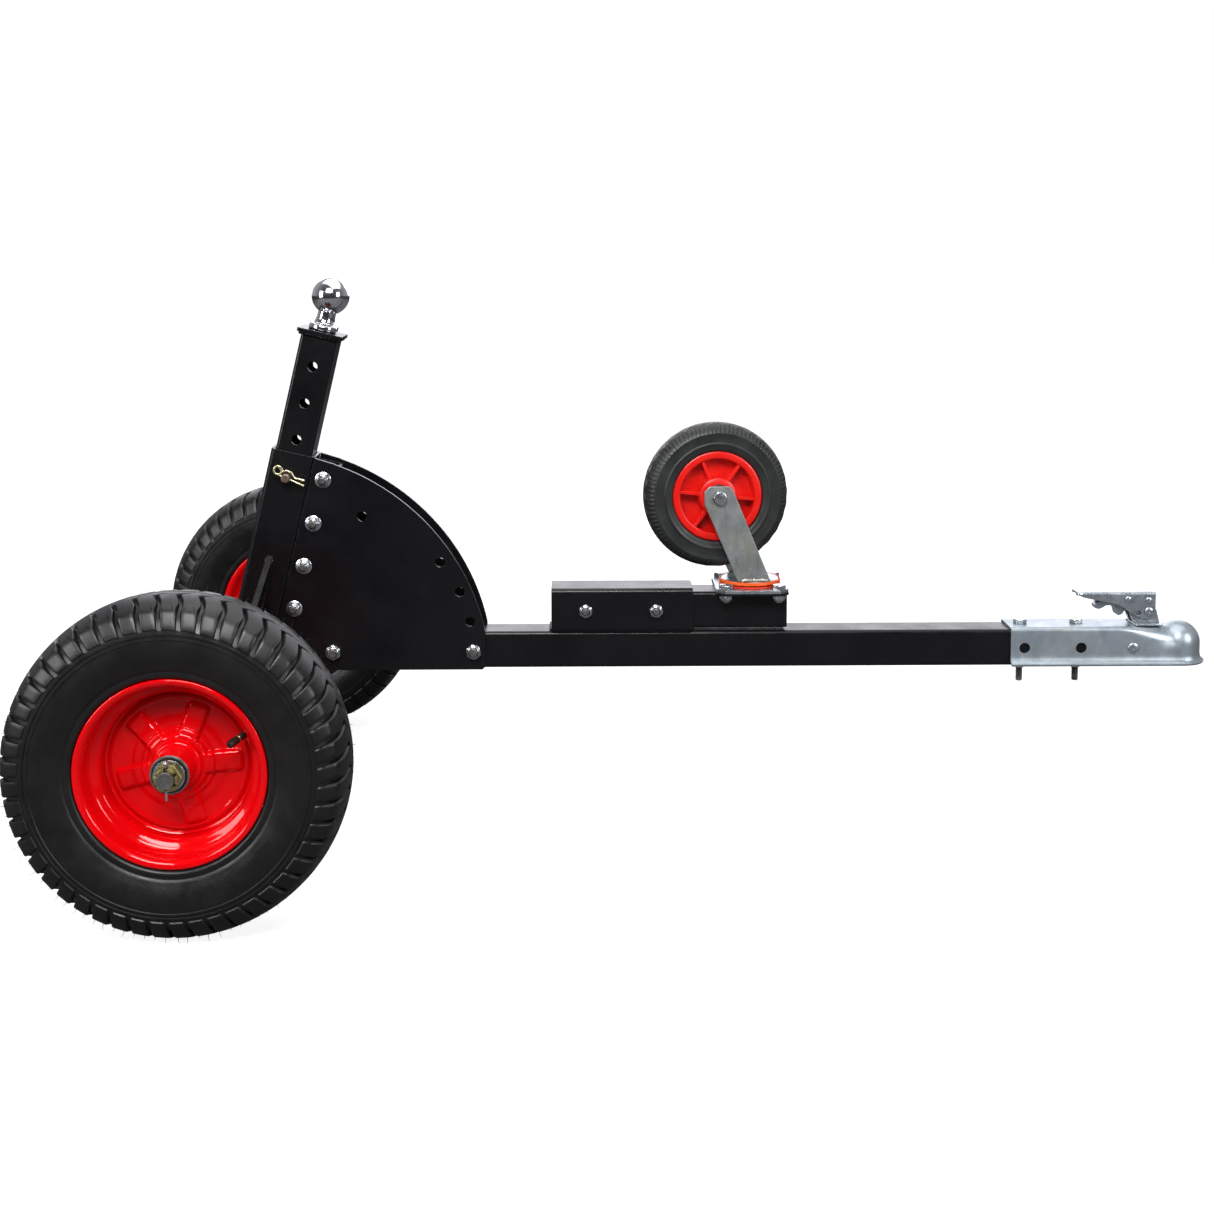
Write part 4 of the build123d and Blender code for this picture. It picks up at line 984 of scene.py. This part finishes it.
def box_reach(degrees, half, rise, corner):
    """How far a rounded box's outline lies from the socket's centre line in this direction."""
    c, s = polar(1, degrees)
    flat = min(rise / s if s > 1e-6 else 1e9, half / c if c > 1e-6 else 1e9)
    x, z = flat * c, flat * s
    cx, cz = half - corner, rise - corner
    if x > cx and z > cz:
        b = cx * c + cz * s
        flat = b + math.sqrt(max(0.0, b * b - (cx * cx + cz * cz - corner * corner)))
    return flat


def upper_half(x):
    """The outline above the socket's height: a box behind that rounds off into the ball's dome."""
    along = ease(1196, 1272, x)
    corner = 5.0 + 19.0 * along
    rise = TOP - socket_z - 1.6 * ease(1250, 1268, x) - 4.2 * ease(1262, 1282, x)
    half = HALF - 1.0 * ease(1235, 1268, x)
    sphere = math.sqrt(max(0.0, DOME_R ** 2 - (x - socket_x) ** 2))
    outline = []
    for degrees in ANGLES:
        neck = box_reach(degrees, half, rise, min(corner, half - 0.5, rise - 0.2))
        blend = 2.6
        gap = max(0.0, 1 - abs(neck - sphere) / blend)
        reach = max(neck, sphere) + gap * gap * blend * 0.25
        y, z = polar(reach, degrees)
        outline.append((y, socket_z + z))
    return outline


FLANGE = ((0, 29), (0, 24), (0.1, 20.5), (0.7, 17.8), (1.9, 15.0), (3.7, 12.9), (5.6, 11.7), (7.0, 11.2))


def coupler_sheet():
    stations = [rear_x + (1190 - rear_x) * k / 9 for k in range(10)]
    stations += [1198 + 4 * k for k in range(13)] + [1249 + 2.2 * k for k in range(18)] + [socket_x]
    verts, faces = [], []
    wide = len(ANGLES) + len(FLANGE)
    for x in stations:
        along = ease(1262, socket_x, x)
        width = HALF + (DOME_R - HALF) * along
        out = 1 + (nose_r / (HALF + LIP) - 1) * along
        top = upper_half(x)
        top[-1] = (max(top[-1][0], width), top[-1][1])
        section = top + [((width + dy) * (out if dy > 5 else 1), z) for dy, z in FLANGE]
        verts += [(x, y, z) for y, z in section] + [(x, -y, z) for y, z in section]
    for i in range(len(stations) - 1):
        a, b = i * 2 * wide, (i + 1) * 2 * wide
        for j in range(wide - 1):
            faces.append((a + j, a + j + 1, b + j + 1, b + j))
            faces.append((a + wide + j, b + wide + j, b + wide + j + 1, a + wide + j + 1))
    profile = [(r, socket_z + z) for r, z in (polar(DOME_R, degrees) for degrees in ANGLES)]
    profile[0] = (0.0, profile[0][1])
    profile += [(DOME_R + dy * (nose_r - DOME_R) / LIP, z) for dy, z in FLANGE]
    nose = lathe(profile, 48, caps=False, start=-90, sweep=180)
    return Build((verts, faces)).add(nose, move(socket_x, 0, 0))


side_hole = lathe([(7.5, -60), (7.5, 60)], 40)
bolt_columns = sorted({round((low.x + high.x) / 2, 1) for low, high in solids("coupler_bolts")})
cutters = [Build(side_hole, move(x, 0, (bar_low.z + bar_high.z) / 2) @ TO_LEFT).shape() for x in bolt_columns]
cutters.append(prism([(1232.5, -6), (1254.5, -6), (1254.5, 6), (1232.5, 6)], 50, 72, "XY"))
piece("coupler_pressing", coupler_sheet(), COUPLER, "tow_bar", "coupler_zinc", sheet=COUPLER_SHEET,
      replaces=["coupler_body"], cutters=cutters, smooth=30)


def rivet_head(radius, height):
    """A low domed head standing on z=0 with a small burnished dimple."""
    profile = [(0.01, 0), (radius, 0), (radius, height * 0.25)]
    for x, z in (polar(1, a) for a in (20, 38, 55, 68)):
        profile.append((radius * x, height * (0.25 + 0.75 * z)))
    profile += [(radius * 0.2, height * 0.98), (radius * 0.12, height * 0.86), (0.01, height * 0.84)]
    return lathe(profile, 36)


def rivets(name, body, items, replaces):
    shape = Build()
    for (x, _, z), reach, radius, height, shank in items:
        for sign in (-1, 1):
            shape.add(rivet_head(radius, height), move(x, sign * reach, z) @ (TO_LEFT if sign > 0 else TO_RIGHT))
        shape.add(lathe([(shank, -reach), (shank, reach)], 24), move(x, 0, z) @ TO_LEFT)
    piece(name, shape, LEVER_ZINC, body, "fastener_zinc", replaces=replaces)


lever_pivot, clamp_pivot, trigger_pivot = (local(ROOT, joints[name]["pos_m"])
                                           for name in ("lever_lift", "clamp_swing", "trigger_squeeze"))
lever_rivet = Vector((lever_pivot.x - 0.7, 0, lever_pivot.z + 15.8))
rivets("pivot_rivets", "tow_bar", [(clamp_pivot, 28.5, 7.8, 2.5, 4.0), (lever_pivot, 15.9, 6.5, 2.4, 4.0)],
       ["coupler_rivets"])
rivets("lever_rivet_heads", "coupler_lever",
       [(lever_rivet, 15.6, 4.9, 2.3, 3.0), (trigger_pivot, 15.6, 4.7, 2.3, 3.0)], ["lever_rivets"])

# Lever: one folded sheet, a U in section, rounded along its folds and at its tip.
WEB_TOP, LEVER_OUT, LEVER_SHEET, FOLD_R, TIP_R = 107.0, 15.6, 2.5, 3.4, 11.0
tip_x, heel_x = corners("coupler_lever")[0].x, 1251.5


def lever_walls(x):
    """How low the lever's two walls reach at this distance along it."""
    stops = [(tip_x, 102.4), (1147, 101.8), (1152, 99.6), (1172, 95.4), (1192, 91.8), (1201, 89.6), (1208, 85.6),
             (1214, 80.4), (1221, 75.6), (1229, 71.8), (1236, 70.0), (1243, 69.8), (1248, 71.6), (1251, 75.2),
             (heel_x, 80)]
    for (x0, z0), (x1, z1) in zip(stops, stops[1:]):
        if x <= x1:
            return z0 + (z1 - z0) * (x - x0) / (x1 - x0)
    return stops[-1][1]


def lever_channel():
    xs = [tip_x + TIP_R * (1 - polar(1, a)[0]) for a in range(18, 90, 9)]
    xs += [tip_x + TIP_R + (heel_x - tip_x - TIP_R) * k / 60 for k in range(61)]
    verts, faces, fold = [], [], WEB_TOP - FOLD_R
    for x in xs:
        inset = TIP_R - math.sqrt(max(0.0, TIP_R ** 2 - max(0.0, tip_x + TIP_R - x) ** 2))
        half, edge = LEVER_OUT - inset * 0.85, lever_walls(x)
        side = [(half, edge), (half, (edge + fold) / 2), (half, fold)]
        for y, z in (polar(1, a) for a in (22, 45, 68, 90)):
            side.append((half - FOLD_R * (1 - y), WEB_TOP - FOLD_R * (1 - z)))
        verts += [(x, y, z) for y, z in side] + [(x, -y, z) for y, z in reversed(side)]
    row = len(verts) // len(xs)
    for a in range(0, (len(xs) - 1) * row, row):
        faces += [(a + j, a + j + 1, a + row + j + 1, a + row + j) for j in range(row - 1)]
    return Build((verts, faces))


lock_hole = local(ROOT, mounts["lever_lock_hole"]["pos_m"])
padlock_bore = turned([(3.5, -40), (3.5, 40)], 32, move(lock_hole.x, 0, lock_hole.z) @ TO_LEFT)
piece("latch_lever", lever_channel(), LEVER_ZINC, "coupler_lever", "coupler_zinc", sheet=LEVER_SHEET,
      replaces=["coupler_lever"], cutters=[padlock_bore.shape()])

trigger_outline = rounded([
    (1168.5, 86.5), (1171, 82.5), (1176, 81.2), (1181, 83), (1186, 86.2), (1193, 86.6), (1197, 82), (1199, 75),
    (1203.6, 71.8), (1209, 74.5), (1219, 92), (1219, 99), (1213, 102.5), (1203, 98), (1190, 93.5), (1176, 92.4),
    (1170.6, 91)], 3.2, 4)
piece("latch_trigger", Build(prism(trigger_outline, -6, 6)), LEVER_ZINC, "coupler_trigger", "coupler_zinc",
      replaces=["coupler_trigger"], bevel=1.1)

ear = rounded([(1223, TOP + 1, 0), (1259, TOP + 1, 0), (1254, 82, 5), (1248, 88, 5), (1237, 89, 6), (1221, 84, 6),
               (1216, 78, 5)], 4, 5)
foot = rounded([(1222, -22), (1260, -22), (1260, 22), (1222, 22)], 4, 5)
bracket = Build(prism(ear, -12.5, -9.5)).add(prism(ear, 9.5, 12.5))
bracket.add(prism(foot, TOP + 0.05, TOP + 2.5, "XY"))
piece("latch_bracket_sheet", bracket, LEVER_ZINC, "tow_bar", "coupler_zinc", replaces=["latch_bracket"], bevel=0.8)

# ------------------------------------------------------------------ finishes on the CAD parts that stay

KEPT = {
    BLACK: ["mast_outer_tube", "mast_inner_tube", "mast_cap_plate", "axle_tubes", "quadrant_plate_left",
            "quadrant_plate_right", "quadrant_spine", "tow_bar_tube", "receiver_tube", "caster_mount"],
    STEEL: ["bearings_left", "bearings_right", "caster_bearings", "swivel_balls"],
    AXLE_STEEL: ["axle_stubs"],
    FASTENER: ["axle_washers", "cotter_pins", "ball_nut"],
    YELLOW: ["castle_nuts"],
    CLIP_YELLOW: ["r_clip"],
    PIN_STEEL: ["hitch_pin"],
    LEVER_ZINC: ["caster_plate", "ball_clamp"],
}
for material, nodes in KEPT.items():
    for node in nodes:
        mesh = frame["nodes"][node].data
        if mesh.materials:
            for index in range(len(mesh.materials)):
                mesh.materials[index] = material
        else:
            mesh.materials.append(material)

# ------------------------------------------------------------------ floor, light and camera


def studio_tree(owner):
    tree = Tree(owner)
    tree.tree.nodes.clear()
    return tree


def by_ray(tree, others, camera_rays, output):
    """Show one shader to the camera and another to every other ray."""
    choose = tree.new("ShaderNodeMixShader")
    tree.link(tree.new("ShaderNodeLightPath").outputs["Is Camera Ray"], choose.inputs["Fac"])
    tree.link(others.outputs[0], choose.inputs[1])
    tree.link(camera_rays.outputs[0], choose.inputs[2])
    tree.link(choose.outputs[0], tree.new(output).inputs["Surface"])


# The floor is paper that glows white to the camera over a faintly lit layer; its glow dims near the object, a painted
# shadow, where the lamps' soft shadow also falls.
paper = bpy.data.materials.new("studio_paper")
tree = studio_tree(paper)
distance = tree.new("ShaderNodeVectorMath", operation="LENGTH")
glow_with_painted_shadow, both = tree.new("ShaderNodeEmission"), tree.new("ShaderNodeAddShader")
tree.link(tree.new("ShaderNodeTexCoord").outputs["Object"], distance.inputs[0])
# Painted shadow: the glow falls from 1.0 beyond 2.4 m to 0.86 within 0.5 m of the floor's middle.
tree.link(tree.span(distance.outputs["Value"], 0.86, 1.0, 0.5, 2.4), glow_with_painted_shadow.inputs["Strength"])
tree.link(glow_with_painted_shadow.outputs[0], both.inputs[0])
tree.link(tree.new("ShaderNodeBsdfDiffuse", {"Color": (0.3, 0.3, 0.3, 1)}).outputs[0], both.inputs[1])
dim = tree.new("ShaderNodeBsdfDiffuse", {"Color": (0.11, 0.11, 0.115, 1)})
by_ray(tree, dim, both, "ShaderNodeOutputMaterial")

FLOOR = 30.0
floor_mesh = bpy.data.meshes.new("studio_floor")
floor_mesh.from_pydata([(-FLOOR, -FLOOR, 0), (FLOOR, -FLOOR, 0), (FLOOR, FLOOR, 0), (-FLOOR, FLOOR, 0)], [],
                       [(0, 1, 2, 3)])
floor_mesh.materials.append(paper)
floor = bpy.data.objects.new("studio_floor", floor_mesh)
scene.collection.objects.link(floor)

# The camera sees a white background; reflections see a room that is dark on the camera's side.
world = bpy.data.worlds.new("studio")
scene.world = world
tree = studio_tree(world)
split = tree.new("ShaderNodeSeparateXYZ")
room = tree.new("ShaderNodeBackground", {"Strength": 0.36})
tree.link(tree.new("ShaderNodeTexCoord").outputs["Generated"], split.inputs[0])
front_dark = tree.span(split.outputs["Y"], 0.0, 1.0, -0.6, 0.5)
tree.link(tree.ramp(front_dark, (0.0, (0.10, 0.10, 0.11)), (1.0, (1.0, 0.98, 1.04))), room.inputs["Color"])
white = tree.new("ShaderNodeBackground", {"Color": (1, 1, 1, 1), "Strength": 1.0})
by_ray(tree, room, white, "ShaderNodeOutputWorld")


def softbox(name, place, target, width, height, watts, colour=(1, 1, 1)):
    light = bpy.data.lights.new(name, "AREA")
    light.shape, light.size, light.size_y, light.energy, light.color = "RECTANGLE", width, height, watts, colour
    lamp = bpy.data.objects.new(name, light)
    lamp.location = place
    lamp.rotation_euler = (Vector(target) - Vector(place)).to_track_quat("-Z", "Y").to_euler()
    lamp.visible_camera = False
    scene.collection.objects.link(lamp)


softbox("overhead", (0.1, 0.1, 2.6), (0, 0, 0.2), 3.2, 2.2, 40)
softbox("front_high", (-0.5, -2.3, 2.3), (-0.1, 0, 0.3), 1.5, 0.9, 88)
softbox("front_right", (2.3, -2.0, 1.3), (0.3, 0, 0.3), 0.9, 1.3, 38)
softbox("front_left", (-2.6, -1.6, 1.2), (-0.5, 0, 0.25), 0.8, 1.4, 34)
softbox("behind", (0.2, 3.0, 1.6), (0, 0, 0.3), 4.5, 2.2, 55, (0.96, 0.94, 1.0))

# The lens, the shift and the camera place come from a fit to points and wheel circles measured in the photograph.
camera_data = bpy.data.cameras.new("photo_camera")
camera_data.sensor_width, camera_data.lens, camera_data.shift_y = 36, 49.36, -0.2
camera_data.dof.use_dof = False
camera = bpy.data.objects.new("photo_camera", camera_data)
camera.location = (-0.1064, -2.2611, 0.809)
camera.rotation_euler = (math.radians(90 - 4.777), 0, math.radians(-0.981))
scene.collection.objects.link(camera)
scene.camera = camera
scene.view_settings.view_transform = "Standard"
scene.view_settings.look = "None"
